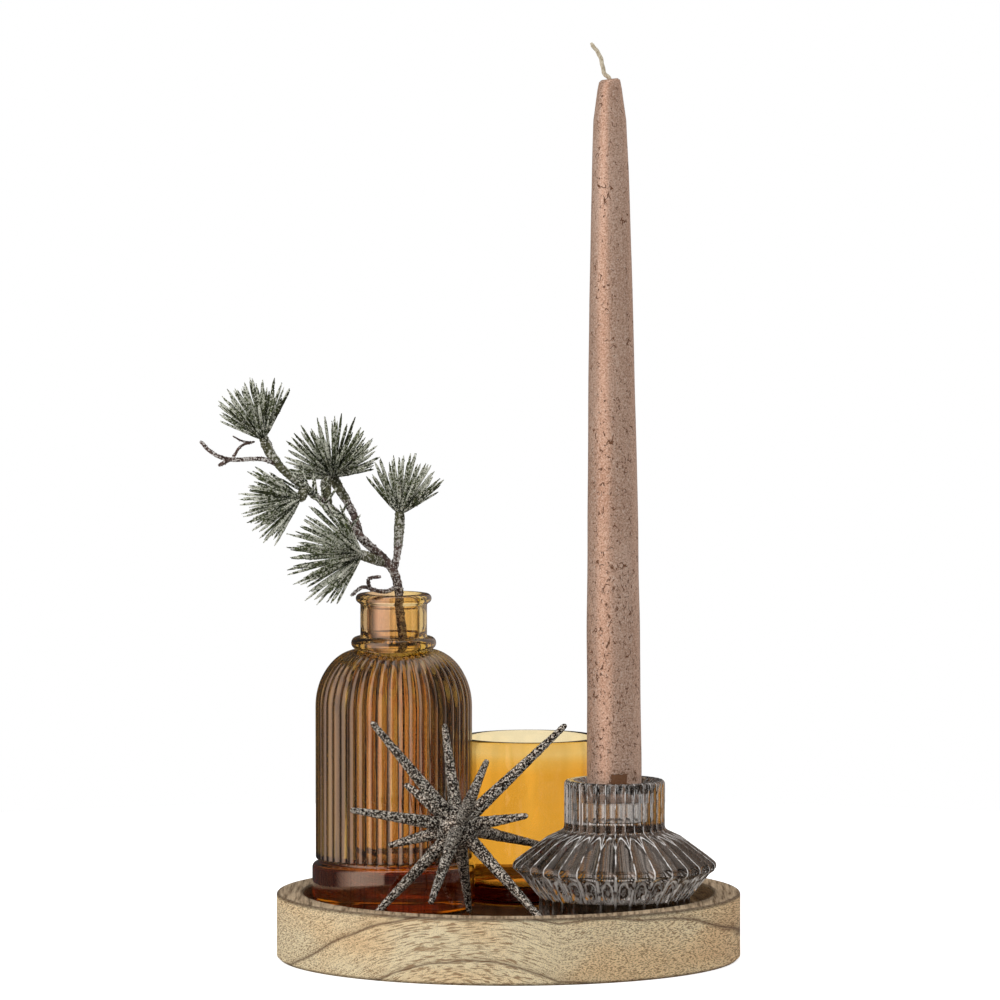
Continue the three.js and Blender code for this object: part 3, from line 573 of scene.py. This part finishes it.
def frosted_finish(name, dark, light, frost, level_from, fineness, feet=()):
    """Plant parts with grains of frost, wherever the level of a noise is high enough.

    Where the feet of tufts are given, colour and frost differ from needle to needle, and painted shade
    darkens the needles near the feet.
    """
    f = Finish(name)
    streak = f.noise(f.scaled(0.6, 0.6, 0.25), detail=3)
    base = f.mix(f.span(streak, 0.38, 0.62), dark, light)
    grain = f.noise(f.scaled(fineness, fineness, fineness), detail=2, rough=0.7)
    patch = f.noise(f.scaled(0.12, 0.12, 0.12), detail=1)
    level = grain + (patch - 0.5) * 0.25
    if feet:
        ray, *others = [f.vector("SUBTRACT", f.scaled(1, 1, 1), tuple(foot)) for foot in feet]
        for other in others:
            nearer = f.math("LESS_THAN", f.vector("LENGTH", other), f.vector("LENGTH", ray))
            ray = f.mix(nearer, ray, other)
        each = f.noise(f.vector("NORMALIZE", ray), scale=9, detail=1)
        # Painted shade: darker, with a little less frost, near a tuft's foot
        deep = f.span(f.vector("LENGTH", ray), 3, 15, 1, 0)
        base = f.mix(f.span(each, 0.36, 0.5, 0.7, 0), base, dimmed(dark, 0.45))
        base = f.mix(deep * 0.6, base, dimmed(dark, 0.3))
        level = level + (each - 0.47) * 0.55 - deep * 0.03
    cover = f.span(level, level_from, level_from + 0.035)
    shade = f.ramp(f.noise(f.scaled(2.5, 2.5, 2.5), detail=1), (0.35, dimmed(frost, 0.66)), (0.6, frost))
    f.set("Base Color", f.mix(cover, base, shade))
    f.set("Roughness", f.span(cover, 0, 1, 0.7, 0.5))
    under = f.bump(streak, 0.12, 0.6)
    f.bump(level, 0.4, 0.8, under=under)
    return f.material


def needle_finish(name, feet):
    return frosted_finish(name, rgb(46, 54, 30), rgb(102, 113, 67), rgb(249, 250, 234), 0.517, 1.0, feet)


def cotton_finish():
    """Dull cotton with darker and paler threads."""
    c = Finish("wick_cotton", Roughness=0.95)
    thread = c.noise(c.scaled(2.2, 2.2, 0.8), detail=3)
    c.set("Base Color", c.ramp(thread, (0.3, rgb(176, 158, 128)), (0.6, rgb(226, 214, 190))))
    c.bump(thread, 0.15, 0.8)
    return c.material


WOOD = wood_finish()
AMBER = bottle_finish()
YELLOW = votive_finish()
SMOKY = holder_finish()
LACQUER = lacquer_finish()
GLITTER = glitter_finish()
BARK = frosted_finish("branch_bark", rgb(60, 45, 40), rgb(112, 92, 84), rgb(236, 230, 224), 0.515, 0.9)
SHEATH = frosted_finish("sheath_green", rgb(62, 64, 42), rgb(108, 108, 78), rgb(234, 232, 220), 0.53, 0.95)
COTTON = cotton_finish()


# Mesh building blocks. A profile is a list of (radius, height, depth of the flutes there).

def make(name, vertices, faces, material, body, slot, replaces, matrix=None, crease=40):
    """One piece in the scene, from vertices in millimetres."""
    mesh = bpy.data.meshes.new(name)
    vertices = np.asarray(vertices, float) * MM
    mesh.from_pydata(vertices.tolist(), [], [list(face) for face in faces])
    if matrix is not None:
        mesh.transform(matrix)
    mesh.validate()
    mesh.polygons.foreach_set("use_smooth", [True] * len(mesh.polygons))
    mesh.set_sharp_from_angle(angle=math.radians(crease))
    mesh.materials.append(material)
    piece = bpy.data.objects.new(name, mesh)
    scene.collection.objects.link(piece)
    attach(piece, body)
    if replaces:
        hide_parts(*replaces)


def closed_tube(rings):
    """Vertices and faces of rows of points that close round, with a pole at each end."""
    rows, sides, _ = rings.shape
    vertices = rings.reshape(-1, 3).tolist()
    first, last, top = len(vertices), len(vertices) + 1, (rows - 1) * sides
    vertices += [rings[0].mean(axis=0).tolist(), rings[-1].mean(axis=0).tolist()]
    around = [(side, (side + 1) % sides) for side in range(sides)]
    faces = []
    for below in range(0, top, sides):
        above = below + sides
        faces += [(below + side, below + after, above + after, above + side) for side, after in around]
    for side, after in around:
        faces += [(first, after, side), (last, top + side, top + after)]
    return vertices, faces


def dense(profile, step):
    """Adds points along the straight runs of a profile."""
    points = [profile[0]]
    for before, after in zip(profile, profile[1:]):
        before, after = np.array(before, float), np.array(after, float)
        count = max(1, int(np.hypot(*(after - before)[:2]) / step))
        points += [tuple(before + (after - before) * i / count) for i in range(1, count + 1)]
    return points


def arc(r, z, radius, start, end, steps, flute=0.0, height=None):
    """Points on a part of a circle or ellipse, from start to end in degrees."""
    points = []
    for i in range(steps + 1):
        angle = math.radians(start + (end - start) * i / steps)
        points.append((r + radius * math.cos(angle), z + (height or radius) * math.sin(angle), flute))
    return points


def turned(profile, sides, cut=None, wobble=None):
    """Rows of points about Z. cut gives the share of a flute's depth at each angle."""
    angles = np.arange(sides) * 2 * math.pi / sides
    share = cut(angles) if cut else np.zeros(sides)
    rings = []
    for r, z, flute in profile:
        reach = np.maximum(r - flute * share, 0.02)
        if wobble:
            reach = reach + wobble(r, z, angles)
        rings.append(np.stack([reach * np.cos(angles), reach * np.sin(angles), np.full(sides, z)], axis=1))
    return np.array(rings)


def ribs(angles):
    """Convex ribs with narrow grooves: 0 on a rib's crown and 1 in a groove."""
    across = np.mod(angles * RIBS / (2 * math.pi) + 0.5, 1) * 2 - 1
    return np.abs(across) ** 2.0


def scallops(angles):
    """Concave flutes with sharp ridges between: 0 on a ridge and 1 in a flute."""
    across = np.mod(angles * FLUTES / (2 * math.pi), 1) * 2 - 1
    return 1 - np.abs(across) ** 1.7


def soft_bumps(angles, z, across, upward, size, start=0.0):
    """Bumps round one ring. across and upward say how fine they are round it and from ring to ring."""
    places = zip(np.cos(angles) * across, np.sin(angles) * across)
    return np.array([noise.noise(Vector((x, y, z * upward + start))) * size for x, y in places])


def at(place):
    return Matrix.Translation(Vector(place) * MM)


def curve_points(route, steps):
    """Even points on the centripetal curve through a route."""
    points = [np.array(point, float) for point in route]
    points = [2 * points[0] - points[1], *points, 2 * points[-1] - points[-2]]
    out = []
    for p0, p1, p2, p3 in zip(points, points[1:], points[2:], points[3:]):
        t0 = 0.0
        t1 = t0 + np.linalg.norm(p1 - p0) ** 0.5
        t2 = t1 + np.linalg.norm(p2 - p1) ** 0.5
        t3 = t2 + np.linalg.norm(p3 - p2) ** 0.5
        for t in np.linspace(t1, t2, 24, endpoint=False):
            a1 = ((t1 - t) * p0 + (t - t0) * p1) / (t1 - t0)
            a2 = ((t2 - t) * p1 + (t - t1) * p2) / (t2 - t1)
            a3 = ((t3 - t) * p2 + (t - t2) * p3) / (t3 - t2)
            b1 = ((t2 - t) * a1 + (t - t0) * a2) / (t2 - t0)
            b2 = ((t3 - t) * a2 + (t - t1) * a3) / (t3 - t1)
            out.append(((t2 - t) * b1 + (t - t1) * b2) / (t2 - t1))
    out.append(points[-2])
    out = np.array(out)
    along = np.concatenate([[0], np.cumsum(np.linalg.norm(np.diff(out, axis=0), axis=1))])
    even = np.linspace(0, along[-1], steps + 1)
    return np.stack([np.interp(even, along, out[:, k]) for k in range(3)], axis=1)


def tube_rings(points, radii, sides, twist=0.0, lobes=0, lobe=0.0, rough=0.0, seed=0):
    """Rings about a line of points, with the frame carried along without turning."""
    points = np.asarray(points, float)
    tangents = np.gradient(points, axis=0)
    tangents /= np.linalg.norm(tangents, axis=1)[:, None]
    start = np.array([0, 0, 1.0]) if abs(tangents[0][2]) < 0.9 else np.array([1.0, 0, 0])
    side = np.cross(tangents[0], start)
    side /= np.linalg.norm(side)
    angles = np.arange(sides) * 2 * math.pi / sides
    rings = []
    for i, (point, tangent) in enumerate(zip(points, tangents)):
        side = side - tangent * side.dot(tangent)
        side /= np.linalg.norm(side)
        up = np.cross(tangent, side)
        turn = angles + twist * i
        reach = radii[i] * (1 + lobe * np.cos(lobes * angles))
        ring = point + (np.outer(np.cos(turn), side) + np.outer(np.sin(turn), up)) * reach[:, None]
        if rough:
            for k in range(sides):
                coarse = noise.noise(Vector(ring[k] * 0.9 + seed))
                fine = noise.noise(Vector(ring[k] * 2.1 + seed))
                ring[k] += (ring[k] - point) / max(radii[i], 0.1) * (coarse + 0.5 * fine) * rough
        rings.append(ring)
    return np.array(rings)


def any_way(chance):
    """Three draws from -1 to 1, as a direction."""
    return [chance.uniform(-1, 1) for _ in range(3)]


class Heap:
    """Several closed shells in one mesh."""

    def __init__(self):
        self.vertices = []
        self.faces = []

    def add(self, vertices, faces):
        start = len(self.vertices)
        self.vertices.extend(vertices)
        self.faces.extend(tuple(start + i for i in face) for face in faces)

    def grain(self, place, size, chance):
        """A small eight sided grain, turned at random."""
        turn = chance.uniform(0, 6.28)
        axes = np.array(Matrix.Rotation(turn, 3, Vector(any_way(chance))))
        corners = []
        for axis in axes:
            reach = size * chance.uniform(0.6, 1.1)
            corners += [(place + axis * reach).tolist(), (place - axis * reach).tolist()]
        faces = [(0, 2, 4), (2, 1, 4), (1, 3, 4), (3, 0, 4), (2, 0, 5), (1, 2, 5), (3, 1, 5), (0, 3, 5)]
        self.add(corners, faces)


# Tray

def build_tray():
    chamfer, edge, hollow = 1.2, 0.9, 0.9
    profile = [(0, 0, 0), (TRAY_RADIUS - chamfer, 0, 0), (TRAY_RADIUS, chamfer, 0)]
    profile += arc(TRAY_RADIUS - edge, TRAY_HEIGHT - edge, edge, 0, 90, 6)
    profile += arc(RECESS_RADIUS + edge, TRAY_HEIGHT - edge, edge, 90, 180, 6)
    profile += arc(RECESS_RADIUS - hollow, RECESS_FLOOR + hollow, hollow, 0, -90, 4)
    profile += [(0, RECESS_FLOOR, 0)]
    rings = turned(dense(profile, 6.0), 256)
    make("tray_board", *closed_tube(rings), WOOD, "tray", "wood", ["tray"])


# Bottle

def bottle_outside():
    """From the middle of the underside up to the rim."""
    base, base_round, rib_round = 33.6, 2.2, 1.2
    bead, bead_round = 17.5, BEAD_HEIGHT / 2
    lip, lip_round = 15.6, LIP_HEIGHT / 2
    fade = 5  # the width at the top of the dome in which the ribs fade out
    dome = arc(NECK_RADIUS, SHOULDER, BODY_RADIUS - NECK_RADIUS, 0, 90, 25, height=DOME_RISE)[:-1]
    profile = [(0, 1.2, 0), (base - 8, 1.2, 0), (base - 6, 0, 0)]
    profile += arc(base - base_round, base_round, base_round, -90, 0, 5)
    profile += arc(base - base_round, BASE_HEIGHT - base_round, base_round, 0, 80, 5)
    groove = BODY_RADIUS - RIB_DEPTH
    profile += [(groove, BASE_HEIGHT + 0.6, 0), (groove, BASE_HEIGHT + 1.2, 0)]
    profile += arc(BODY_RADIUS - rib_round, BASE_HEIGHT + 2.2, rib_round, -40, 0, 3, RIB_DEPTH)
    profile += [(r, z, RIB_DEPTH * min(1, (r - NECK_RADIUS) / fade)) for r, z, _ in dome]
    profile += [(NECK_RADIUS + 1.6, BEAD - 0.9, 0)]
    profile += arc(bead - bead_round, BEAD + bead_round, bead_round, -75, 80, 8)
    profile += [(NECK_RADIUS + 0.4, NECK, 0), (NECK_RADIUS, NECK + 0.6, 0), (NECK_RADIUS, LIP - 0.5, 0)]
    profile += arc(lip - lip_round, LIP + lip_round, lip_round, -70, 90, 8)
    return profile


def bottle_inside():
    """From the rim down to the middle of the floor."""
    floor, rim_round, foot_round = 19.5, 1, 3.5
    rim = LIP + LIP_HEIGHT
    profile = arc(BORE_RADIUS + rim_round, rim - rim_round, rim_round, 90, 180, 4)
    profile += arc(BORE_RADIUS, SHOULDER - 1.5, INNER_RADIUS - BORE_RADIUS, 90, 0, 16, height=DOME_RISE - 2.5)
    profile += arc(INNER_RADIUS - foot_round, floor + foot_round, foot_round, 0, -90, 6)
    profile += [(8, floor + 1.2, 0), (0, floor + 2.0, 0)]
    return profile


def build_bottle():
    def wobble(r, z, angles):
        """The glass is a little uneven, but for the body's outside, the neck and near the axis."""
        if r > INNER_RADIUS + 1 or z > BEAD or r < 15:
            return np.zeros(len(angles))
        return soft_bumps(angles, z, 2.2, 0.02, 0.45) + soft_bumps(angles, z, 5, 0.012, 0.3, start=7)

    profile = dense(bottle_outside(), 4.0) + dense(bottle_inside(), 5.0)
    rings = turned(profile, RIBS * 10, ribs, wobble)
    make("bottle_glass", *closed_tube(rings), AMBER, "bottle", "amber_glass", ["bottle"], at(BOTTLE), 50)


# Votive glass

def build_votive():
    radius, wall, floor, foot_round, rim_round, floor_round = 28.9, 2.0, 6.0, 1.6, 1, 4
    profile = [(0, 1.4, 0), (radius - 7, 1.4, 0), (radius - 5, 0, 0)]
    profile += arc(radius - foot_round, foot_round, foot_round, -90, 0, 4)
    profile += arc(radius - rim_round, VOTIVE_HEIGHT - rim_round, rim_round, 0, 180, 8)
    profile += arc(radius - wall - floor_round, floor + floor_round, floor_round, 0, -90, 6)
    profile += [(6, floor + 1, 0), (0, floor + 1.4, 0)]

    def wobble(r, z, angles):
        """The glass is a little uneven, but for the outer wall, the rim and near the axis."""
        if r > radius - 0.5 * wall or z > VOTIVE_HEIGHT - 3 or r < 15:
            return np.zeros(len(angles))
        return soft_bumps(angles, z, 2.5, 0.015, 0.3, start=4)

    rings = turned(dense(profile, 4.0), 144, wobble=wobble)
    make("votive_glass_cup", *closed_tube(rings), YELLOW, "votive", "yellow_glass", ["votive_glass"],
         at(VOTIVE), 50)


# Candle holder

def build_holder():
    foot, disk, disk_round, collar, collar_round = 30.7, 41.5, 2.6, 20.5, 1.6
    mouth, seat, drain, top = 16.2, 11.5, 9.8, HOLDER_HEIGHT
    deep, mild, fine = 1.9, 1.1, 0.6  # flutes
    well = [(0, 13, 0), (18.5, 13, 0), (20.3, 11.2, 0), (20.5, 1.0, 0), (20.8, 0.4, 0)]
    outside = [(20.8, 0.4, 0), (foot - 1.2, 0, mild * 0.6), (foot, 1.2, mild),
               (foot, FOOT_HEIGHT - 0.4, mild), (foot + 0.9, FOOT_HEIGHT + 0.5, mild),
               (disk - 2.2, DISK_HEIGHT - 2.6, deep)]
    outside += arc(disk - disk_round, DISK_HEIGHT, disk_round, -32, 52, 7, deep)
    outside += [(27.6, CONE_HEIGHT - 2.8, deep * 0.8), (collar + 1.6, CONE_HEIGHT - 0.2, mild),
                (collar + 0.3, CONE_HEIGHT + 0.9, fine), (collar, CONE_HEIGHT + 2.0, fine),
                (collar, top - collar_round, fine)]
    outside += arc(collar - collar_round, top - collar_round, collar_round, 15, 90, 5, fine * 0.7)
    socket = [(mouth + 0.6, top - 0.2, 0), (mouth, top - 0.8, 0), (seat + 0.4, top - 4.4, 0),
              (seat, top - 5.2, 0), (seat, top - SOCKET_DEPTH, 0), (drain, top - SOCKET_DEPTH, 0),
              (drain, top - 16.5, 0), (drain - 0.8, top - 17, 0)]
    # From the middle of the well's ceiling, down its wall, up the outside and into the socket
    profile = dense(well, 3.0)[:-1] + dense(outside + socket, 1.5) + [(0, top - 17, 0)]
    rings = turned(profile, FLUTES * 16, scallops)
    make("holder_glass", *closed_tube(rings), SMOKY, "holder", "smoky_glass", ["candle_holder"],
         at(HOLDER), 28)


# Candle and wick

LEAN = Matrix.Rotation(math.radians(-0.45), 4, "Y")
CANDLE_FOOT = at(HOLDER + np.array([0, 0, HOLDER_HEIGHT - SOCKET_DEPTH + SEAT_GAP])) @ LEAN
CANDLE_LENGTH = 293.5


def build_candle():
    full, tip, bore, bore_depth = 11.1, 4.5, 1.25, 7.3
    # How far up a point is, and how far from the tip's radius to the full radius
    taper = [(0.05, 1.0), (0.25, 0.945), (0.47, 0.83), (0.63, 0.715), (0.75, 0.6), (0.87, 0.45),
             (0.943, 0.33)]
    length = CANDLE_LENGTH
    profile = [(0, 0, 0), (full - 0.8, 0, 0), (full, 0.8, 0)]
    profile += [(tip + (full - tip) * width, length * up, 0) for up, width in taper]
    profile += [(tip + 0.35, length - 4.0, 0), (tip - 0.3, length - 0.9, 0), (tip - 1.3, length - 0.1, 0)]
    profile += [(1.6, length - 0.3, 0), (bore, length - 1.4, 0)]
    profile += [(bore, length - bore_depth, 0), (0, length - bore_depth, 0)]

    def wobble(r, z, angles):
        return soft_bumps(angles, z, r * 0.16, 0.035, 0.22 if r > 2 else 0.0)

    rings = turned(dense(profile, 3.0), 64, wobble=wobble)
    # The top is cut a little slanted, higher on the right
    for ring in rings:
        share_up = np.clip((ring[:, 2] - (length - 8)) / 8, 0, 1)
        ring[:, 2] += share_up * (ring[:, 0] / tip) * 0.55
    make("candle_taper", *closed_tube(rings), LACQUER, "candle", "wax", ["candle"], CANDLE_FOOT, 50)


def build_wick():
    """Three strands twisted together, bent to the left."""
    lean, rise = 7.5, 14.6
    route = [(0, 0, -7), (0, 0, 0), (-lean * 0.25, 0, rise * 0.13), (-lean * 0.52, 0, rise * 0.64),
             (-lean, 0, rise)]
    points = curve_points(route, 60)
    radii = np.interp(np.linspace(0, 1, 61), [0, 0.95, 1], [0.98, 0.85, 0.5])
    rings = tube_rings(points, radii * 0.93, 18, twist=0.22, lobes=3, lobe=0.13, rough=0.05)
    make("wick_cord", *closed_tube(rings), COTTON, "candle", "cotton", ["wick"],
         CANDLE_FOOT @ Matrix.Translation((0, 0, CANDLE_LENGTH * MM)), 60)


# Starburst. A spike is its turn from the right upwards and its lean to the back, both in degrees,
# and its length from the hub's centre, with None for the legs that reach down to the tray.

SPIKES = [
    (128, -19.5, 60), (98, 13.5, 42.5), (64, 51, 42), (44, -5, 61), (13, -32, 34),
    (-20, 50.5, 61), (-46, -28.5, None), (-83.5, 33.5, None), (-111.5, -40.5, 40), (-134, -9, None),
    (-163, 16, 31), (170, -10, 45), (143, 20, 29), (68, -60.5, 42), (-128, -78, 39),
]


def build_hub():
    """A ball with a slightly uneven skin."""
    rings = turned(arc(0, 0, 8.9, -90, 90, 26)[1:-1], 40)
    for ring in rings:
        for point in ring:
            point *= 1 + 0.035 * noise.noise(Vector(point * 1.1))
    make("star_hub_ball", *closed_tube(rings), GLITTER, "star", "glitter", ["star_hub"], at(HUB), 80)


def build_spikes():
    """Tapered spikes with grains of glitter on them."""
    chance = random.Random(7)
    root, sides = 6.6, 20
    for number, (clock, lean, length) in enumerate(SPIKES, 1):
        turn, back = math.radians(clock), math.radians(lean)
        across = math.cos(back)
        direction = np.array([math.cos(turn) * across, math.sin(back), math.sin(turn) * across])
        if length is None:
            length = (HUB_HEIGHT - SEAT_GAP - SPIKE_TIP) / -direction[2] + SPIKE_TIP
        steps = int(length / 0.55)
        along = np.linspace(root, length, steps)
        radii = np.interp(along, [root, 9.3, length - 1.2, length - 0.4, length],
                          [2.8, 2.85, 1.2, 0.95, 0.35])
        rings = tube_rings(direction * along[:, None], radii, sides, rough=0.17, seed=number * 3.0)
        spike = Heap()
        spike.add(*closed_tube(rings))
        for _ in range(int(length * 3.2)):
            row = chance.randrange(4, steps - 1)
            spike.grain(rings[row][chance.randrange(sides)], chance.uniform(0.16, 0.32), chance)
        make(f"star_ray_{number:02d}", spike.vertices, spike.faces, GLITTER, "star", "glitter",
             [f"star_spike_{number:02d}"], at(HUB), 80)


# Branch. Routes are in millimetres from the centre of the bottle's mouth.

STEM = [(7.5, -2, -109.7), (6.5, -1, -78.2), (5.5, 1, -49.5), (3, 1, -11.5), (0, -1, 9), (-12, -4, 22),
        (-23.5, -6, 33.5), (-33, -7.5, 41.5)]
OUTER_STEM = [(-31.5, -7.3, 40.2), (-36, -8, 44), (-46.5, -9, 53), (-53, -9, 63)]
SIDE_SHOOT = [(-36.3, -8.1, 44.2), (-37, -10.5, 42.4), (-37.5, -13.5, 40.2)]
UPPER_SHOOT = [(-13.5, -4.3, 24), (-17, 3, 33.5), (-21.5, 8, 41), (-24.5, 10, 46)]
FRONT_SHOOT = [(-3.4, -1.9, 12.4), (-6, -7, 13.6), (-10, -12.4, 16.2)]
RIGHT_SHOOT = [(0, -1, 9), (1.6, 2, 17.5), (2.5, 5, 30.8)]
LEFT_TWIG = [(-46.6, -9, 53.1), (-53, -10.5, 55.8), (-67.5, -12, 56), (-74, -13, 58.7), (-78.8, -14, 63.5)]
LEFT_STUB = [(-66.5, -12, 56), (-71.5, -12, 53.3)]
LEFT_ARC = [(-65.5, -12, 56.5), (-62, -12.5, 61.5), (-56.5, -13.5, 63.3)]
LEFT_WIRE = [(-58.5, -13, 62.9), (-62, -13, 63.6), (-65.6, -13, 65.6)]
TENDRIL = [(1.5, -0.5, 2.5), (-4, -9, 1.5), (-9.5, -13.5, 3.5), (-10, -14, 7), (-5, -13, 7.9)]
TENDRIL_ARM = [(-7.5, -13, 2.3), (-12.5, -15, 3.7), (-17.3, -17, 0.3)]

# Bare wood: the piece's name, its node, and routes with the radius at each end
WOODS = [
    ("stem_wood", "branch_stem", [(STEM, 2.1, 1.7)]),
    ("shoot_upper_wood", "branch_shoot_upper", [(UPPER_SHOOT, 1.4, 1.8)]),
    ("shoot_front_wood", "branch_shoot_front", [(FRONT_SHOOT, 1.4, 1.8)]),
    ("shoot_right_wood", "branch_shoot_right", [(RIGHT_SHOOT, 1.4, 1.8)]),
    ("twig_left_wood", "branch_twig_left",
     [(LEFT_TWIG, 0.95, 0.8), (LEFT_STUB, 0.9, 0.7), (LEFT_ARC, 0.6, 0.5), (LEFT_WIRE, 0.45, 0.3)]),
    ("tendril_wood", "branch_tendril", [(TENDRIL, 0.95, 0.7), (TENDRIL_ARM, 0.85, 0.65)]),
]

# Tufts of needles. spread is the half angle of the fan in degrees.
TUFTS = {
    "tip": dict(foot=(-53, -9, 63.5), towards=(-0.31, -0.1, 0.95), spread=49, count=64, length=27.5),
    "side": dict(foot=(-37.5, -13.5, 40.2), towards=(-0.97, -0.3, -0.17), spread=50, count=60, length=26.5),
    "upper": dict(foot=(-25, 10.5, 47), towards=(-0.14, 0.1, 1), spread=86, count=98, length=28),
    "front": dict(foot=(-12.6, -14.6, 17.1), towards=(-0.99, -0.35, 0.04), spread=60, count=92, length=33.5),
    "right": dict(foot=(2.4, 5.5, 31.8), towards=(0.14, 0, 0.99), spread=51, count=56, length=27),
}

# Routes of the thick green sleeves under the tufts
SLEEVES = {
    "tip": [[(-46.5, -9, 53), (-50.5, -9, 58.5), (-53.2, -9, 64.8)]],
    "side": [[(-36.6, -9, 43.6), (-37, -11.5, 41.8), (-38, -14.5, 40)]],
    "upper": [[(-19, 5.5, 37.4), (-22.6, 9, 42.6), (-25.3, 10.6, 48)],
              [(-26.5, -5.6, 36.4), (-27.6, -2, 41.5), (-27.8, 4, 47.5)]],
    "front": [[(-4.6, -5, 12.9), (-8.5, -10.5, 15), (-13.6, -15, 17.3)]],
    "right": [[(1.6, 2.4, 16.5), (2.2, 4, 25), (2.5, 5.5, 33.3)]],
}

# Needles on the outer stem: foot, direction and length
LOOSE_NEEDLES = [
    ((-34, -9.5, 42), (-0.3, -0.15, 0.95), 14), ((-34.5, -9.5, 41.5), (-0.6, -0.3, 0.75), 15),
    ((-35, -9.5, 41.5), (-0.85, -0.3, 0.5), 16), ((-33, -9.5, 40.5), (0.05, -0.25, 0.95), 12),
    ((-32, -9.5, 39.5), (-0.45, -0.5, 0.75), 14), ((-30, -9, 38.5), (0.3, -0.2, 0.9), 11),
    ((-31, -9, 38.5), (-0.1, -0.4, 0.9), 13), ((-28, -8.5, 37), (0.55, -0.2, 0.8), 10),
    ((-24, -8.5, 33), (-0.5, -0.5, 0.7), 9), ((-22, -8, 31.5), (0.4, -0.4, 0.8), 9),
    ((-20, -7.5, 30), (-0.4, -0.5, 0.75), 8), ((-17.5, -7, 27.5), (0.5, -0.4, 0.7), 8),
]


def twig(heap, route, start, end, chance):
    """A rough twig with grains of frost."""
    sides = 14
    length = np.linalg.norm(np.diff(np.array(route, float), axis=0), axis=1).sum()
    steps = max(8, int(length / 0.8))
    points = curve_points(route, steps)
    radii = np.interp(np.linspace(0, 1, steps + 1), [0, 0.97, 1], [start, end, end * 0.6])
    rings = tube_rings(points, radii, sides, rough=0.1 * (start + end), seed=chance.uniform(0, 90))
    heap.add(*closed_tube(rings))
    for _ in range(int(length * 2.2)):
        row = chance.randrange(1, steps)
        heap.grain(rings[row][chance.randrange(sides)], chance.uniform(0.2, 0.45), chance)


def tuft(heap, foot, towards, spread, count, length, chance):
    """Needles that fan out of a bud, slightly bent and of uneven length."""
    sides, rows, bud = 6, 12, 2.2
    turn = Vector((0, 0, 1)).rotation_difference(Vector(towards).normalized())
    cap = 1 - math.cos(math.radians(spread))
    for i in range(count):
        up = 1 - ((i + chance.uniform(0.2, 0.8)) / count) * cap
        out = math.sqrt(max(0, 1 - up * up))
        angle = i * GOLDEN + chance.uniform(-0.12, 0.12)
        ray = Vector((out * math.cos(angle), out * math.sin(angle), up))
        ray.rotate(turn)
        ray = np.array(ray)
        reach = length * (chance.uniform(0.8, 1.0) - 0.3 * (1 - up))
        bend = np.cross(ray, any_way(chance))
        bend = bend * chance.uniform(0.01, 0.05) * reach
        share = np.linspace(0, 1, rows)
        points = np.array(foot, float) + np.outer(bud + (reach - bud) * share, ray)
        points = points + np.outer(share * share - share, bend)
        widths = np.interp(share, [0, 0.2, 0.75, 0.96, 1], [0.4, 0.64, 0.6, 0.46, 0.14])
        widths = widths * chance.uniform(0.85, 1.12)
        rings = tube_rings(points, widths, sides, rough=0.14, seed=i * 0.7)
        heap.add(*closed_tube(rings))
        for _ in range(9):
            row = min(rows - 1, int(chance.uniform(0.5, rows - 0.5)))
            heap.grain(rings[row][chance.randrange(sides)], chance.uniform(0.2, 0.42), chance)


def needle(heap, foot, ray, length, chance):
    """One loose needle."""
    sides, rows = 6, 9
    share = np.linspace(0, 1, rows)
    points = np.array(foot, float) + np.outer(length * share, np.array(ray) / np.linalg.norm(ray))
    widths = np.interp(share, [0, 0.3, 0.75, 1], [0.4, 0.55, 0.48, 0.08])
    rings = tube_rings(points, widths, sides, rough=0.14, seed=length)
    heap.add(*closed_tube(rings))
    for _ in range(6):
        heap.grain(rings[chance.randrange(rows)][chance.randrange(sides)], chance.uniform(0.2, 0.4), chance)


def sheath(heap, route, chance):
    """The thick green sleeve under a tuft."""
    radius, sides, steps = 2.2, 20, 16
    points = curve_points(route, steps)
    radii = radius * np.interp(np.linspace(0, 1, steps + 1), [0, 0.15, 0.8, 1], [0.65, 0.82, 1.0, 0.8])
    rings = tube_rings(points, radii, sides, rough=0.3, seed=chance.uniform(0, 50))
    heap.add(*closed_tube(rings))
    for _ in range(90):
        row = chance.randrange(1, steps)
        heap.grain(rings[row][chance.randrange(sides)], chance.uniform(0.16, 0.34), chance)


def build_wood(chance):
    for name, node, routes in WOODS:
        heap = Heap()
        for route, start, end in routes:
            twig(heap, route, start, end, chance)
        make(name, heap.vertices, heap.faces, BARK, "branch", "bark", [node], at(MOUTH), 70)


def build_sprig(place, tufts, chance):
    """One node's needles, and the green sleeves that they grow out of."""
    needles, green = Heap(), Heap()
    for key in tufts:
        tuft(needles, **TUFTS[key], chance=chance)
        for sleeve in SLEEVES[key]:
            sheath(green, sleeve, chance)
    if place == "left":
        for foot, ray, length in LOOSE_NEEDLES:
            needle(needles, foot, ray, length, chance)
        twig(green, OUTER_STEM, 1.7, 1.7, chance)
        twig(green, SIDE_SHOOT, 1.4, 1.7, chance)
    name = f"needles_{place}"
    finish = needle_finish(name + "_green", [MOUTH + TUFTS[key]["foot"] for key in tufts])
    make(name, needles.vertices, needles.faces, finish, "branch", "needles", [f"needle_sprig_{place}"],
         at(MOUTH), 70)
    make(f"sheath_{place}", green.vertices, green.faces, SHEATH, "branch", "needles", [], at(MOUTH), 70)


def build_branch():
    chance = random.Random(23)
    build_wood(chance)
    build_sprig("left", ["tip", "side"], chance)
    for place in ("upper", "front", "right"):
        build_sprig(place, [place], chance)


build_tray()
build_bottle()
build_votive()
build_holder()
build_candle()
build_wick()
build_hub()
build_spikes()
build_branch()

scene.view_settings.view_transform = "Standard"
